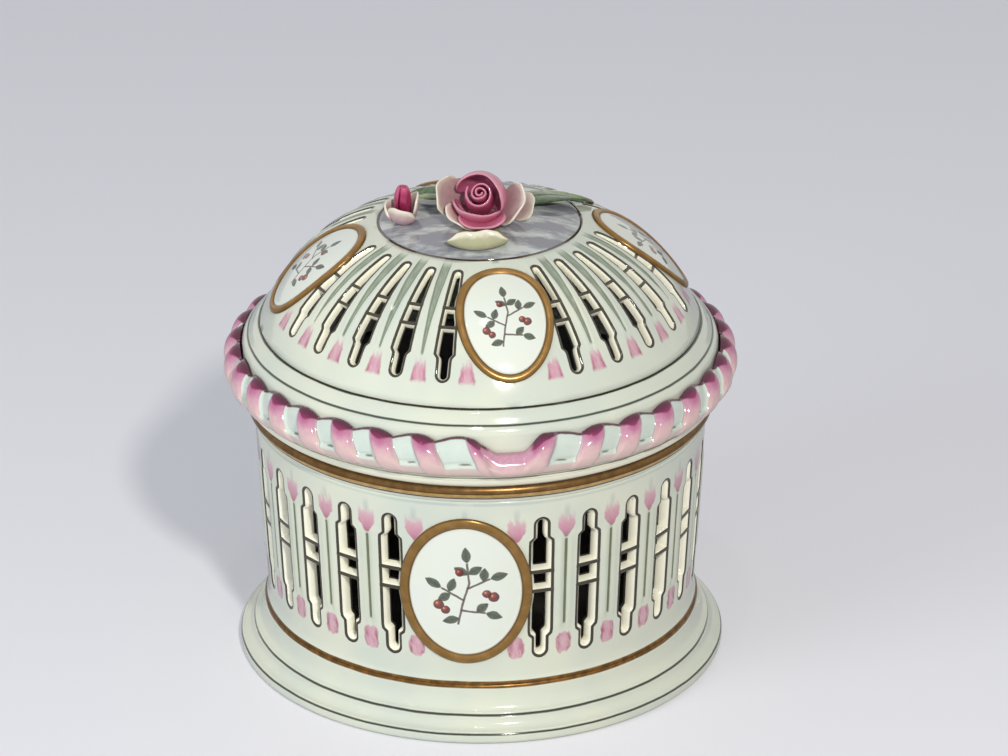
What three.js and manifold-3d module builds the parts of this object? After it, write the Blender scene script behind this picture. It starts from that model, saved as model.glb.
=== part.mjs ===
// Small covered jar in pierced porcelain: a stepped foot, a drum wall and a domed lid with vertical slots
// between oval medallions, a twisted ribbon border, and a modelled rose with a bud and leaves as the knob.
// Millimetres, +Z up. The origin is on the table under the jar's axis, and the front medallion faces -Y.

import * as THREE from 'three';
import { mergeVertices } from 'three/addons/utils/BufferGeometryUtils.js';
import Module from 'manifold-3d';

// Overall
const facets = 36; // flats round the jar and the lid
const smallFacets = 14; // flats round the small turned pieces of the knob
const flatsPerMedallion = 3; // flats of the wall behind a medallion
const plaqueSides = 12; // sides of a medallion's outline
const seamGap = 0.3; // slip seam left between pieces that are stuck or rest on each other
const quarters = 4; // medallions round the jar and round the lid

// Foot and floor
const footRadius = 72;
const footLip = 3.3; // height of the upright edge at the bottom
const footStepRadius = 67.8;
const footStepHeight = 7.5;
const footBandRadius = 64.6;
const footBandHeight = 15.4;
const footHeight = 18;
const footRingWidth = 9;
const footRingHeight = 3.5;
const floorThickness = 4.5;
const floorFillet = 5;

// Drum wall, from the foot to the rim that the lid rests on
const wallBaseRadius = 63.3;
const wallTopRadius = 66.4;
const wallHeight = 56.5;
const wallThickness = 4.6;
const collarProjection = 1.2;
const collarHeight = 1.8;
const beadRadius = 1.9;
const rimFlare = 3;
const rimHeight = 3.6;
const mouthWall = 3.2; // thickness of the collar behind the bead, which sets the mouth's bore

// Slots in the wall
const slotsPerQuarter = 5;
const slotPitch = 12.95; // degrees
const slotHeight = 46.2;
const slotWidth = 7.8;
const slotNeckWidth = 5.2;
const slotNeckLength = 6.8;
const slotStart = 4.5; // above the foot
const barHeight = 1.4;
const barSpacing = 6.2;
const barRise = 2; // middle of the pair of bars above the slot's middle
const windowFocus = 50; // depth behind the wall at which a window's sides would meet

// Medallions
const medallionWidth = 38.4;
const medallionHeight = 47.2;
const lidMedallionWidth = 28;
const lidMedallionHeight = 37;
const medallionFrame = 3;
const frameRelief = 1.1;
const fieldRelief = 0.7;

// Lid
const lidTurn = 11.2; // degrees that the lid stands turned on the jar
const lidEdgeRadius = 69.6;
const lidEdgeHeight = 12.2;
const lidOverhang = 0.2; // the lid's seat beyond the rim that it rests on
const lidSeatHeight = 1.4;
const shoulderRadius = 67.8;
const shoulderStepRadius = 64.5;
const shoulderHeight = 6;
const domeBaseRadius = 63.6;
const domeBaseRise = 0.5;
const domeHeight = 32.6;
const domeSteepRun = 7.8; // the two handles of the dome's curve
const domeSteepRise = 15.45;
const domeCrownRadius = 42;
const lidThickness = 4.2;
const flangeDepth = 7;
const flangeThickness = 2.8;
const flangeClearance = 1;

// Slots in the lid, measured along the dome from its base
const lidSlotPitch = 13.2; // degrees
const lidSlotStart = 5.2;
const lidSlotLength = 36.9;
const lidSlotWidth = 7.4;
const lidSlotTopWidth = 3.4;
const lidSlotNeckWidth = 4.6;
const lidSlotNeckLength = 7;
const lidMedallionCentre = 23.8;
const lidBarRise = 1.1; // middle of the pair of bars above the slot's middle

// Twisted ribbon border
const ropeUnits = 36;
const ropeDepth = 5.5; // how far it stands out of the lid's edge
const ropeHalfHeight = 5.7;
const ropeRise = 6.4; // of its middle above the seat
const ropeGroove = 1.1;
const ropeLean = 4.2; // degrees that a turn leans from its middle to its top

// Rose
const roseTilt = 50; // degrees forward from upright
const roseX = 1;
const roseY = -3.6;
const roseStand = 2.3; // height of the flower's root above the crown
const petalThickness = 1.1;
const scrollInner = 0.8;
const scrollOuter = 3;
const scrollTurns = 1.75;
const scrollRoot = 5;
const scrollTop = 14.6;
const roseBaseRadius = 5.4;
const roseBaseTopRadius = 2.2;
const roseBaseTop = 1.4;

// Bud
const budX = -21.5;
const budY = -6;
const budRadius = 3.1;
const budHeight = 11.4;
const budCupRadius = 4.8;
const budCupHeight = 6;

const wasm = await Module();
wasm.setup();

function solidOf(geometry) {
  const bare = geometry.clone();
  bare.deleteAttribute('normal');
  bare.deleteAttribute('uv');
  const merged = mergeVertices(bare, 1e-4);
  const vertProperties = new Float32Array(merged.attributes.position.array);
  const triVerts = new Uint32Array(merged.index.array);
  return new wasm.Manifold(new wasm.Mesh({ numProp: 3, vertProperties, triVerts }));
}

function geometryOf(solid) {
  const { numProp, vertProperties, triVerts } = solid.getMesh();
  const positions = new Float32Array(vertProperties.length / numProp * 3);
  for (let i = 0; i < positions.length / 3; i += 1) {
    positions.set(vertProperties.subarray(i * numProp, i * numProp + 3), i * 3);
  }
  const geometry = new THREE.BufferGeometry();
  geometry.setAttribute('position', new THREE.BufferAttribute(positions, 3));
  geometry.setIndex(new THREE.BufferAttribute(new Uint32Array(triVerts), 1));
  geometry.computeVertexNormals();
  return geometry;
}

// What stays of a piece after a cut, without the crumbs
function largestPiece(solid) {
  return solid.decompose().reduce((best, piece) => (piece.volume() > best.volume() ? piece : best));
}

function meshOf(name, geometry, color, roughness = 0.15) {
  const mesh = new THREE.Mesh(geometry, new THREE.MeshStandardMaterial({ color, roughness, metalness: 0 }));
  mesh.name = name;
  return mesh;
}

const radians = THREE.MathUtils.degToRad;

// Angles round the axis start at the front, -Y, and run towards +X
function around(angle, radius, z, sideways = 0) {
  return new THREE.Vector3(
    radius * Math.sin(angle) + sideways * Math.cos(angle),
    -radius * Math.cos(angle) + sideways * Math.sin(angle),
    z,
  );
}

// A turned piece from points [radius, z] that run up the outside and back down the inside, in even flats or
// with its flats' edges at the angles given
function turned(points, flats = facets, edges = undefined) {
  const profile = points.map(([radius, z]) => new THREE.Vector2(radius, z));
  const count = edges ? edges.length : flats;
  const lathe = new THREE.LatheGeometry([...profile, profile[0].clone()], count);
  const place = lathe.attributes.position;
  for (let i = 0; edges && i < place.count; i += 1) {
    const angle = edges[Math.floor(i / (profile.length + 1)) % count];
    const at = around(angle, Math.hypot(place.getX(i), place.getZ(i)), place.getY(i));
    place.setXYZ(i, at.x, at.z, -at.y);
  }
  return lathe.rotateX(Math.PI / 2);
}

// A pierced wall's flats: one to each slot, with the edges down the middle of the ribs, and two or more behind
// each medallion
function slottedFlats(pitch) {
  const quarter = 2 * Math.PI / quarters;
  const slots = radians(pitch) * slotsPerQuarter;
  const blank = (quarter - slots) / flatsPerMedallion;
  return Array.from({ length: quarters }, (_, i) => i * quarter).flatMap((start) => [
    ...Array.from({ length: flatsPerMedallion }, (_, k) => start - (quarter - slots) / 2 + blank * k),
    ...Array.from({ length: slotsPerQuarter }, (_, k) => start + (quarter - slots) / 2 + radians(pitch) * k),
  ]);
}

function arcPoints(centreRadius, centreZ, radius, fromDegrees, toDegrees, steps) {
  const at = (step) => radians(fromDegrees + (toDegrees - fromDegrees) * step / steps);
  return Array.from({ length: steps + 1 }, (_, step) => [
    centreRadius + radius * Math.cos(at(step)),
    centreZ + radius * Math.sin(at(step)),
  ]);
}

// A hollow between two profile points, quarter of a superellipse, bent towards the lower inner corner
function covePoints([r0, z0], [r1, z1], steps) {
  return Array.from({ length: steps + 1 }, (_, step) => {
    const turn = step / steps * Math.PI / 2;
    return [r0 + (r1 - r0) * Math.sin(turn), z0 + (z1 - z0) * (1 - Math.cos(turn))];
  });
}

// The surface that slots and medallions follow is a profile curve in [radius, z], walked by arc length.
// depth is counted along its outward normal.
function onProfile(curve, length, depth) {
  const total = curve.getLength();
  const share = THREE.MathUtils.clamp(length / total, 0, 1);
  const point = curve.getPointAt(share);
  const tangent = curve.getTangentAt(share);
  const beyond = length - share * total;
  return new THREE.Vector2(
    point.x + tangent.x * beyond + tangent.y * depth,
    point.y + tangent.y * beyond - tangent.x * depth,
  );
}

// A closed solid from rings of points that all have the same count, capped at both ends
function skinned(rings) {
  const count = rings[0].length;
  const positions = rings.flat().flatMap((point) => point.toArray());
  const faces = [];
  for (let row = 0; row + 1 < rings.length; row += 1) {
    for (let i = 0; i < count; i += 1) {
      const a = row * count + i;
      const b = row * count + (i + 1) % count;
      faces.push(a, b, a + count, b, b + count, a + count);
    }
  }
  const last = (rings.length - 1) * count;
  for (let i = 1; i + 1 < count; i += 1) {
    faces.push(0, i + 1, i);
    faces.push(last, last + i, last + i + 1);
  }
  return facingOut(positions, faces);
}

// A closed geometry whose faces are turned over if they hold a negative volume
function facingOut(positions, faces) {
  const corner = (index) => new THREE.Vector3().fromArray(positions, index * 3);
  let volume = 0;
  for (let i = 0; i < faces.length; i += 3) {
    volume += corner(faces[i]).dot(corner(faces[i + 1]).cross(corner(faces[i + 2])));
  }
  const geometry = new THREE.BufferGeometry();
  geometry.setAttribute('position', new THREE.Float32BufferAttribute(positions, 3));
  geometry.setIndex(volume < 0 ? faces.reverse() : faces);
  geometry.computeVertexNormals();
  return geometry;
}

// Outline of one slot as [place along it, half width]: a straight body that may taper from foot to head, with
// a narrower round-ended neck at the foot and, where neckAtHead is set, at the head too
function slotOutline({ length, footWidth, headWidth, neck, neckLength, neckAtHead }) {
  const widthAt = (along) => (footWidth + (headWidth - footWidth) * along / length) / 2;
  const roundEnd = (width) => [[0, width / 4], [0.3 * width, width / 2]];
  const necked = [
    ...roundEnd(neck),
    [neckLength, neck / 2],
    [neckLength + neck / 4, widthAt(neckLength + neck / 4)],
  ];
  const head = neckAtHead ? necked : roundEnd(headWidth);
  return [...necked, ...head.map(([along, wide]) => [length - along, wide]).reverse()];
}

function outlineBetween(outline, from, to) {
  const widthAt = (along) => {
    const next = outline.findIndex(([place]) => place >= along);
    if (next <= 0) {
      return outline[0][1];
    }
    const [a, wa] = outline[next - 1];
    const [b, wb] = outline[next];
    return wa + (wb - wa) * (along - a) / (b - a);
  };
  const inside = outline.filter(([place]) => place > from + 0.05 && place < to - 0.05);
  return [[from, widthAt(from)], ...inside, [to, widthAt(to)]];
}

// The knife's path through one window of a slot. Its sides all lean towards one point deep behind the wall, so
// the window narrows a little on its way in.
function windowCutter({ curve, outline, start, thickness }, [from, to], angle) {
  const deep = onProfile(curve, start + (from + to) / 2, -windowFocus);
  const focus = around(angle, deep.x, deep.y);
  const rungs = outlineBetween(outline, from, to).map(([along, wide]) => {
    const at = onProfile(curve, start + along, 0);
    return [-wide, wide].map((sideways) => around(angle, at.x, at.y, sideways)
      .sub(focus).multiplyScalar(1 + thickness / windowFocus).add(focus));
  });
  const positions = [...rungs.flat(), focus].flatMap((point) => point.toArray());
  const tip = 2 * rungs.length;
  const faces = [1, 0, tip, tip - 2, tip - 1, tip];
  for (let a = 0; a + 2 < tip; a += 2) {
    faces.push(a, a + 1, a + 3, a, a + 3, a + 2, a + 3, a + 1, tip, a, a + 2, tip);
  }
  return solidOf(facingOut(positions, faces));
}

function slotAngles(pitch) {
  const turn = 2 * Math.PI / quarters;
  const middle = (slotsPerQuarter - 1) / 2;
  return Array.from({ length: quarters * slotsPerQuarter }, (_, i) => {
    const quarter = Math.floor(i / slotsPerQuarter);
    return (quarter + 0.5) * turn + radians(pitch) * (i % slotsPerQuarter - middle);
  });
}

function slotCutters(slots) {
  const { length, pitch, barMiddle } = slots;
  const edges = [-1, 1].map((side) => barMiddle + side * barSpacing / 2);
  const windows = [
    [0, edges[0] - barHeight / 2],
    [edges[0] + barHeight / 2, edges[1] - barHeight / 2],
    [edges[1] + barHeight / 2, length],
  ];
  return slotAngles(pitch).flatMap((angle) => windows.map((span) => windowCutter(slots, span, angle)));
}

// An oval plaque that lies on the curve: raised frame, domed field, and a back just inside the wall
function medallion({ curve, centre, width, height, angle, thickness }) {
  const frameShare = 1 - 2 * medallionFrame / width;
  const rings = [
    [1, -thickness + 0.4],
    [1, frameRelief - 0.2],
    [frameShare + 0.04, frameRelief],
    [frameShare, fieldRelief * 0.6],
    [0.45, fieldRelief],
  ];
  const place = (share, turn, depth) => {
    const along = centre + height / 2 * share * Math.sin(turn);
    const point = onProfile(curve, along, depth);
    const across = width / 2 * share * Math.cos(turn) / onProfile(curve, along, 0).x;
    return around(angle + across, point.x, point.y);
  };
  return solidOf(skinned(rings.map(([share, depth]) => Array.from(
    { length: plaqueSides },
    (_, i) => place(share, i / plaqueSides * 2 * Math.PI, depth),
  ))));
}

function medallionAngles() {
  return Array.from({ length: quarters }, (_, i) => i * 2 * Math.PI / quarters);
}

// Heights that follow from the sizes above
const wallBaseZ = footHeight + seamGap;
const wallTopZ = wallBaseZ + wallHeight;
const beadZ = wallTopZ + collarHeight + beadRadius;
const collarRadius = wallTopRadius + collarProjection;
const rimZ = beadZ + beadRadius + rimHeight;
const rimRadius = collarRadius + rimFlare;
const lidSeatRadius = rimRadius + lidOverhang;
const mouthRadius = collarRadius - mouthWall - 0.8;
const lidSeatZ = rimZ + seamGap;
const shoulderZ = lidSeatZ + lidSeatHeight + lidEdgeHeight;
const domeBaseZ = shoulderZ + shoulderHeight + domeBaseRise;
const crownZ = domeBaseZ + domeHeight;

function jarFoot() {
  const innerRadius = wallBaseRadius - wallThickness;
  const floorZ = footRingHeight + floorThickness;
  return turned([
    [0, footRingHeight],
    [footRadius - footRingWidth - footRingHeight / 4, footRingHeight],
    [footRadius - footRingWidth, 0],
    [footRadius - 1, 0],
    [footRadius, 1],
    [footRadius, footLip],
    ...covePoints([footRadius - 0.9, footLip + 0.5], [footStepRadius, footStepHeight], 2),
    [footStepRadius - 0.7, footStepHeight + 0.4],
    ...covePoints([footStepRadius - 1, footStepHeight + 1.2], [footBandRadius, footBandHeight - 1], 2),
    [footBandRadius, footBandHeight + 1],
    [wallBaseRadius, footHeight],
    [innerRadius, footHeight],
    ...arcPoints(innerRadius - floorFillet, floorZ + floorFillet, floorFillet, 0, -90, 2),
    [0, floorZ],
  ]);
}

const wallCurve = new THREE.LineCurve(
  new THREE.Vector2(wallBaseRadius, wallBaseZ),
  new THREE.Vector2(wallTopRadius, wallTopZ),
);

function jarWall() {
  const shell = solidOf(turned([
    [wallBaseRadius - wallThickness, wallBaseZ],
    [wallBaseRadius, wallBaseZ],
    [wallTopRadius, wallTopZ],
    [collarRadius, wallTopZ + collarHeight],
    ...arcPoints(collarRadius - beadRadius / 2, beadZ, beadRadius, -60, 60, 3),
    ...covePoints([collarRadius, rimZ - rimHeight + 0.4], [rimRadius - 0.4, rimZ - 0.6], 2),
    [rimRadius, rimZ],
    [mouthRadius, rimZ],
    [mouthRadius, wallTopZ],
    [wallTopRadius - wallThickness - 0.6, wallTopZ - 4],
  ], facets, slottedFlats(slotPitch)));
  const outline = slotOutline({
    length: slotHeight,
    footWidth: slotWidth,
    headWidth: slotWidth,
    neck: slotNeckWidth,
    neckLength: slotNeckLength,
    neckAtHead: true,
  });
  const cutters = slotCutters({
    curve: wallCurve,
    outline,
    start: slotStart,
    length: slotHeight,
    pitch: slotPitch,
    barMiddle: slotHeight / 2 + barRise,
    thickness: wallThickness,
  });
  const plaques = medallionAngles().map((angle) => medallion({
    curve: wallCurve,
    centre: slotStart + slotHeight / 2,
    width: medallionWidth,
    height: medallionHeight,
    angle,
    thickness: wallThickness,
  }));
  return shell.subtract(wasm.Manifold.union(cutters)).add(wasm.Manifold.union(plaques));
}

const domeCurve = new THREE.CubicBezierCurve(
  new THREE.Vector2(domeBaseRadius, domeBaseZ),
  new THREE.Vector2(domeBaseRadius - domeSteepRun, domeBaseZ + domeSteepRise),
  new THREE.Vector2(domeCrownRadius, crownZ),
  new THREE.Vector2(0, crownZ),
);

// The dome's profile at a depth along its normal, from its base to the crown
function domePoints(depth, steps) {
  const total = domeCurve.getLength();
  return Array.from({ length: steps + 1 }, (_, step) => {
    const point = onProfile(domeCurve, total * step / steps, depth);
    return [step === steps ? 0 : point.x, point.y];
  });
}

function lidDome() {
  const flangeOuter = mouthRadius - flangeClearance;
  const flangeInner = flangeOuter - flangeThickness;
  const shell = solidOf(turned([
    [flangeInner, lidSeatZ - flangeDepth],
    [flangeOuter - 0.8, lidSeatZ - flangeDepth],
    [flangeOuter, lidSeatZ - flangeDepth + 1.5],
    [flangeOuter, lidSeatZ],
    [lidSeatRadius - 0.4, lidSeatZ],
    [lidSeatRadius, lidSeatZ + 0.5],
    [lidEdgeRadius, lidSeatZ + lidSeatHeight],
    [lidEdgeRadius, shoulderZ - 1.2],
    [shoulderRadius, shoulderZ + 1.4],
    [shoulderStepRadius, shoulderZ + shoulderHeight - 1],
    ...domePoints(0, 6),
    ...domePoints(-lidThickness, 4).reverse(),
    [flangeInner, domeBaseZ - lidThickness],
  ], facets, slottedFlats(lidSlotPitch)));
  const outline = slotOutline({
    length: lidSlotLength,
    footWidth: lidSlotWidth,
    headWidth: lidSlotTopWidth,
    neck: lidSlotNeckWidth,
    neckLength: lidSlotNeckLength,
    neckAtHead: false,
  });
  const cutters = slotCutters({
    curve: domeCurve,
    outline,
    start: lidSlotStart,
    length: lidSlotLength,
    pitch: lidSlotPitch,
    barMiddle: lidSlotLength / 2 + lidBarRise,
    thickness: lidThickness,
  });
  const plaques = medallionAngles().map((angle) => medallion({
    curve: domeCurve,
    centre: lidMedallionCentre,
    width: lidMedallionWidth,
    height: lidMedallionHeight,
    angle,
    thickness: lidThickness,
  }));
  return shell.subtract(wasm.Manifold.union(cutters)).add(wasm.Manifold.union(plaques));
}

// Half of the ribbon border. Its turns lean towards the front, and the lean dies out at both ends, where the
// two halves meet on upright faces.
function ropeHalf(side) {
  const backRadius = lidEdgeRadius + 0.5;
  const middleZ = lidSeatZ + ropeRise;
  const half = ropeUnits / 2;
  const rowsPerUnit = 2;
  const sectionSteps = 5;
  const endGap = seamGap / backRadius;
  const rows = Array.from({ length: half * rowsPerUnit + 1 }, (_, row) => {
    const unit = row / rowsPerUnit;
    const swell = Math.abs(Math.sin(Math.PI * unit)) ** 0.6;
    const lean = radians(ropeLean) * Math.min(1, unit, half - unit);
    const base = endGap + (Math.PI - 2 * endGap) * unit / half;
    const reach = 1 - ropeGroove / ropeDepth * (1 - swell);
    const front = Array.from({ length: sectionSteps + 1 }, (_, step) => {
      const turn = radians(-82 + 164 * step / sectionSteps);
      const angle = side * (base + lean * Math.sin(turn));
      return around(angle, backRadius + ropeDepth * reach * Math.cos(turn), middleZ + ropeHalfHeight * reach * Math.sin(turn));
    });
    const back = [0.9, -0.9].map((height) => around(side * base, backRadius, middleZ + ropeHalfHeight * reach * height));
    return [...front, ...back];
  });
  return skinned(rows);
}

// A petal or leaf: a curved sheet at(u, v), u from -1 to 1 across and v from 0 at the root to 1 at the rim,
// thickened both ways. grow widens it on every side, to cut its neighbour clear of it.
function sheet(at, across, along, thickness, grow = 0) {
  const spread = 1 + grow / 5;
  const reach = grow / 10;
  const corner = (i, j, side) => {
    const u = (2 * i / across - 1) * spread;
    const v = -reach + (1 + 2 * reach) * j / along;
    const step = 0.02;
    const du = at(u + step, v).sub(at(u - step, v));
    const dv = at(u, v + step).sub(at(u, v - step));
    const normal = du.cross(dv).normalize();
    return at(u, v).addScaledVector(normal, side * (thickness / 2 + grow));
  };
  const rings = Array.from({ length: along + 1 }, (_, j) => [
    ...Array.from({ length: across + 1 }, (_, i) => corner(i, j, 1)),
    ...Array.from({ length: across + 1 }, (_, i) => corner(across - i, j, -1)),
  ]);
  return stripCapped(rings);
}

// Like skinned, for flat rings whose two long sides face each other: the ends are capped by a ladder
function stripCapped(rings) {
  const count = rings[0].length;
  const positions = rings.flat().flatMap((point) => point.toArray());
  const faces = [];
  for (let row = 0; row + 1 < rings.length; row += 1) {
    for (let i = 0; i < count; i += 1) {
      const a = row * count + i;
      const b = row * count + (i + 1) % count;
      faces.push(a, b, a + count, b, b + count, a + count);
    }
  }
  const last = (rings.length - 1) * count;
  for (let i = 0; i + 1 < count / 2; i += 1) {
    const j = count - 1 - i;
    faces.push(i, j, i + 1, i + 1, j, j - 1);
    faces.push(last + i, last + i + 1, last + j, last + i + 1, last + j - 1, last + j);
  }
  return facingOut(positions, faces);
}

// A cupped petal round an upright axis. root, belly and rim are [radius, height] of its middle line, turn is
// the direction that it stands in, spread its half angle, and coil lifts one edge outside the other.
function petal({ root, belly, rim, turn, spread, coil = 0, droop = 0.16, curl = 0 }) {
  return (u, v) => {
    const edge = v * (1 - droop * u * u);
    const w = 1 - edge;
    const radius = w * w * root[0] + 2 * w * edge * belly[0] + edge * edge * rim[0] + curl * edge ** 4;
    const height = w * w * root[1] + 2 * w * edge * belly[1] + edge * edge * rim[1] - curl * 0.5 * edge ** 6;
    const wide = 0.62 + 0.38 * Math.sin(Math.PI * Math.min(1, 0.1 + v * 0.8));
    const angle = radians(turn + spread * u * wide);
    const shifted = radius + coil * u;
    return new THREE.Vector3(shifted * Math.cos(angle), shifted * Math.sin(angle), height);
  };
}

const roseInner = [
  { root: [2.4, 1.2], belly: [11, 5.5], rim: [4.9, 13.2], turn: 62, spread: 98, coil: 0.5 },
  { root: [2.6, 1.2], belly: [8.6, 5], rim: [5.1, 13], turn: -128, spread: 64, coil: -0.4 },
  { root: [2.8, 1.6], belly: [6, 7], rim: [8, 11.6], turn: -78, spread: 58, coil: 0.4 },
];

const roseOuter = [
  { root: [3.6, 2], belly: [9.4, 6], rim: [10.4, 11.4], turn: -132, spread: 40, curl: 0.8 },
  { root: [3.6, 0.8], belly: [12, 3], rim: [11.8, 11.2], turn: 172, spread: 36, coil: 0.5, curl: 0.8 },
  { root: [3.6, 1.5], belly: [11.5, 4.4], rim: [11.8, 10.4], turn: -10, spread: 42, coil: 0.5, curl: 0.8 },
  { root: [4, 3.4], belly: [8.4, 9], rim: [13, 14.8], turn: -84, spread: 46, coil: -0.4, curl: 0.6 },
  { root: [4, 0.4], belly: [12, 0.6], rim: [15, 6], turn: -4, spread: 22, curl: 0.6 },
];

const longLeaf = { root: [7, 1], tip: [32, 19], width: 9.6, lift: 1, fold: 0.6 };
const shortLeaf = { root: [-7, 3], tip: [-22, 11], width: 8, lift: 1.2, fold: 0.8 };

const budPetals = [
  { root: [1.6, 0.2], belly: [5, 0.8], rim: [budCupRadius, budCupHeight], turn: -110, spread: 70, coil: 0.5, curl: 0.3 },
  { root: [1.6, 0.2], belly: [5, 0.8], rim: [budCupRadius, budCupHeight], turn: 150, spread: 66, coil: 0.5, curl: 0.3 },
  { root: [1.6, 0.2], belly: [4.6, 1.4], rim: [budCupRadius - 0.6, budCupHeight + 2.6], turn: 28, spread: 60, coil: 0.5 },
];

// The rolled heart of the rose, one sheet wound about the axis and drawn in towards its top
function scroll() {
  return (u, v) => {
    const turn = (u + 1) / 2 * scrollTurns * 2 * Math.PI;
    const radius = scrollInner + (scrollOuter - scrollInner) * (u + 1) / 2;
    const drawn = radius * (1 - 0.12 * v * v);
    return new THREE.Vector3(drawn * Math.cos(turn), -drawn * Math.sin(turn), scrollRoot + (scrollTop - scrollRoot) * v);
  };
}

// A leaf that lies along the dome from its root to its tip, both [x, y], a little raised along its middle
function leaf({ root, tip, width, lift, fold }) {
  const start = new THREE.Vector2(...root);
  const run = new THREE.Vector2(...tip).sub(start);
  const across = new THREE.Vector2(-run.y, run.x).normalize();
  return (u, v) => {
    const half = width / 2 * (0.08 + 0.92 * Math.sin(Math.PI * THREE.MathUtils.clamp(v, 0, 1) ** 0.85) ** 0.9);
    const place = start.clone().addScaledVector(run, v).addScaledVector(across, u * half);
    const raised = lift * Math.sin(Math.PI * v * 0.9) + fold * Math.abs(u);
    return new THREE.Vector3(place.x, place.y, crownHeight(place.length()) + seamGap + petalThickness / 2 + raised);
  };
}

// Height of the dome's outside at a distance from the axis
function crownHeight(radius) {
  let low = 0;
  let high = 1;
  for (let step = 0; step < 24; step += 1) {
    const middle = (low + high) / 2;
    [low, high] = domeCurve.getPoint(middle).x > radius ? [middle, high] : [low, middle];
  }
  return domeCurve.getPoint(low).y;
}

// Everything on the crown is cut clear of the dome by this fuller copy of its top
const crownKeepOut = solidOf(turned([
  [0, crownHeight(domeCrownRadius) - lidThickness],
  ...domePoints(seamGap, 12).filter(([radius]) => radius < domeCrownRadius),
], 2 * smallFacets));

const rose = new THREE.Group();
rose.position.set(roseX, roseY, crownZ + roseStand);
rose.rotation.set(radians(roseTilt), 0, 0);

const bud = new THREE.Group();
bud.position.set(budX, budY, crownHeight(Math.hypot(budX, budY)) + seamGap);

const leaves = new THREE.Group();

// Adds pieces to a group in the order given, from the heart outwards, each cut clear of all that is there
// before it, and returns the space that is taken once they are in
function layIn(group, pieces, taken) {
  group.updateMatrixWorld(true);
  let local = taken.transform(group.matrixWorld.clone().invert().elements);
  for (const { name, color, make } of pieces) {
    group.add(meshOf(name, geometryOf(largestPiece(make(0).subtract(local))), color));
    local = local.add(make(seamGap));
  }
  return local.transform(group.matrixWorld.elements);
}

const deepPink = 0xb0466f;
const pink = 0xd08aa0;
const blush = 0xf0e2d8;
const porcelain = 0xe6ebdf;
const green = 0x6f8f5a;
const magenta = 0x9c2f55;

function sheetPiece(name, color, at, across, along) {
  return { name, color, make: (grow) => solidOf(sheet(at, across, along, petalThickness, grow)) };
}

function rosePieces() {
  const base = (grow) => solidOf(turned([
    [0, -2 * roseBaseRadius],
    [roseBaseRadius + grow, -2 * roseBaseRadius],
    [roseBaseTopRadius + grow, roseBaseTop + grow],
    [0, roseBaseTop + grow],
  ], smallFacets));
  return [
    { name: 'rose_base', color: blush, make: base },
    { name: 'rose_center', color: deepPink, make: (grow) => solidOf(sheet(scroll(), 18, 2, petalThickness * 0.8, grow / 2)) },
    ...roseInner.map((sizes, i) => sheetPiece(`rose_inner_petal_${i + 1}`, pink, petal(sizes), 6, 4)),
    ...roseOuter.map((sizes, i) => sheetPiece(`rose_outer_petal_${i + 1}`, blush, petal(sizes), 5, 4)),
  ];
}

function budPieces() {
  const core = (grow) => solidOf(turned([
    [0, -grow],
    [budRadius * 0.5 + grow, -grow],
    [budRadius + grow, budHeight * 0.35],
    [budRadius * 0.95 + grow, budHeight * 0.75],
    [budRadius * 0.5 + grow, budHeight * 0.97],
    [0, budHeight + grow],
  ], smallFacets));
  return [
    { name: 'bud_core', color: magenta, make: core },
    ...budPetals.map((sizes, i) => sheetPiece(`bud_petal_${i + 1}`, blush, petal(sizes), 4, 3)),
  ];
}

const leafPieces = () => [
  sheetPiece('long_leaf', green, leaf(longLeaf), 4, 7),
  sheetPiece('short_leaf', green, leaf(shortLeaf), 4, 5),
];

const jar = new THREE.Group();
jar.add(
  meshOf('jar_foot', jarFoot(), porcelain),
  meshOf('jar_wall', geometryOf(jarWall()), porcelain),
);

const lid = new THREE.Group();
lid.rotation.z = radians(lidTurn);
lid.add(
  meshOf('lid_dome', geometryOf(lidDome()), porcelain),
  meshOf('rope_border_left', ropeHalf(-1), pink),
  meshOf('rope_border_right', ropeHalf(1), pink),
);

const takenByRose = layIn(rose, rosePieces(), crownKeepOut);
const takenByBud = layIn(bud, budPieces(), takenByRose);
layIn(leaves, leafPieces(), takenByBud);

const coveredJar = new THREE.Group();
coveredJar.add(jar, lid, rose, bud, leaves);

export default coveredJar;
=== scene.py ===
import math

import bmesh
import bpy
from mathutils import Matrix, Vector, geometry


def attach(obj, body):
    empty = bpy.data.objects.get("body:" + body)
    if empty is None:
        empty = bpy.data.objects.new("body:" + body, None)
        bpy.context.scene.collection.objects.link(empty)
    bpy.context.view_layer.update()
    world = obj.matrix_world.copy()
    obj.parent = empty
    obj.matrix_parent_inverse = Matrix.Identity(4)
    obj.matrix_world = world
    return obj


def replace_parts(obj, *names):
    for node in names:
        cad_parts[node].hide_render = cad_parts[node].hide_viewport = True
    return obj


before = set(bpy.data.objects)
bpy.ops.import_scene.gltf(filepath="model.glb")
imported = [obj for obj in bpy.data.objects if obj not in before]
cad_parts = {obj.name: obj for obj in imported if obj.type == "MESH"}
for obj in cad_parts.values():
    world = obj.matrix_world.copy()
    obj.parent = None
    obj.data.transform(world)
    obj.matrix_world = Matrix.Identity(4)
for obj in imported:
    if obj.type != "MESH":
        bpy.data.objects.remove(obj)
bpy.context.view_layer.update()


# Foot. The jar stands on a broad turned base with two steps, cast in porcelain together with the floor and
# glazed all over. A dark line is painted round each step and a gilt line where the drum wall rises.
foot_radius = 72.0
foot_step_radius = 67.8
foot_line_heights = (3.3, 7.5)
gilt_line_height = 15.4


def shade(red, green, blue):
    """A colour as seen on a screen, from 0 to 255, as Blender wants it."""
    linear = [c / 255 / 12.92 if c <= 10 else ((c / 255 + 0.055) / 1.055) ** 2.4 for c in (red, green, blue)]
    return (*linear, 1)


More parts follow.
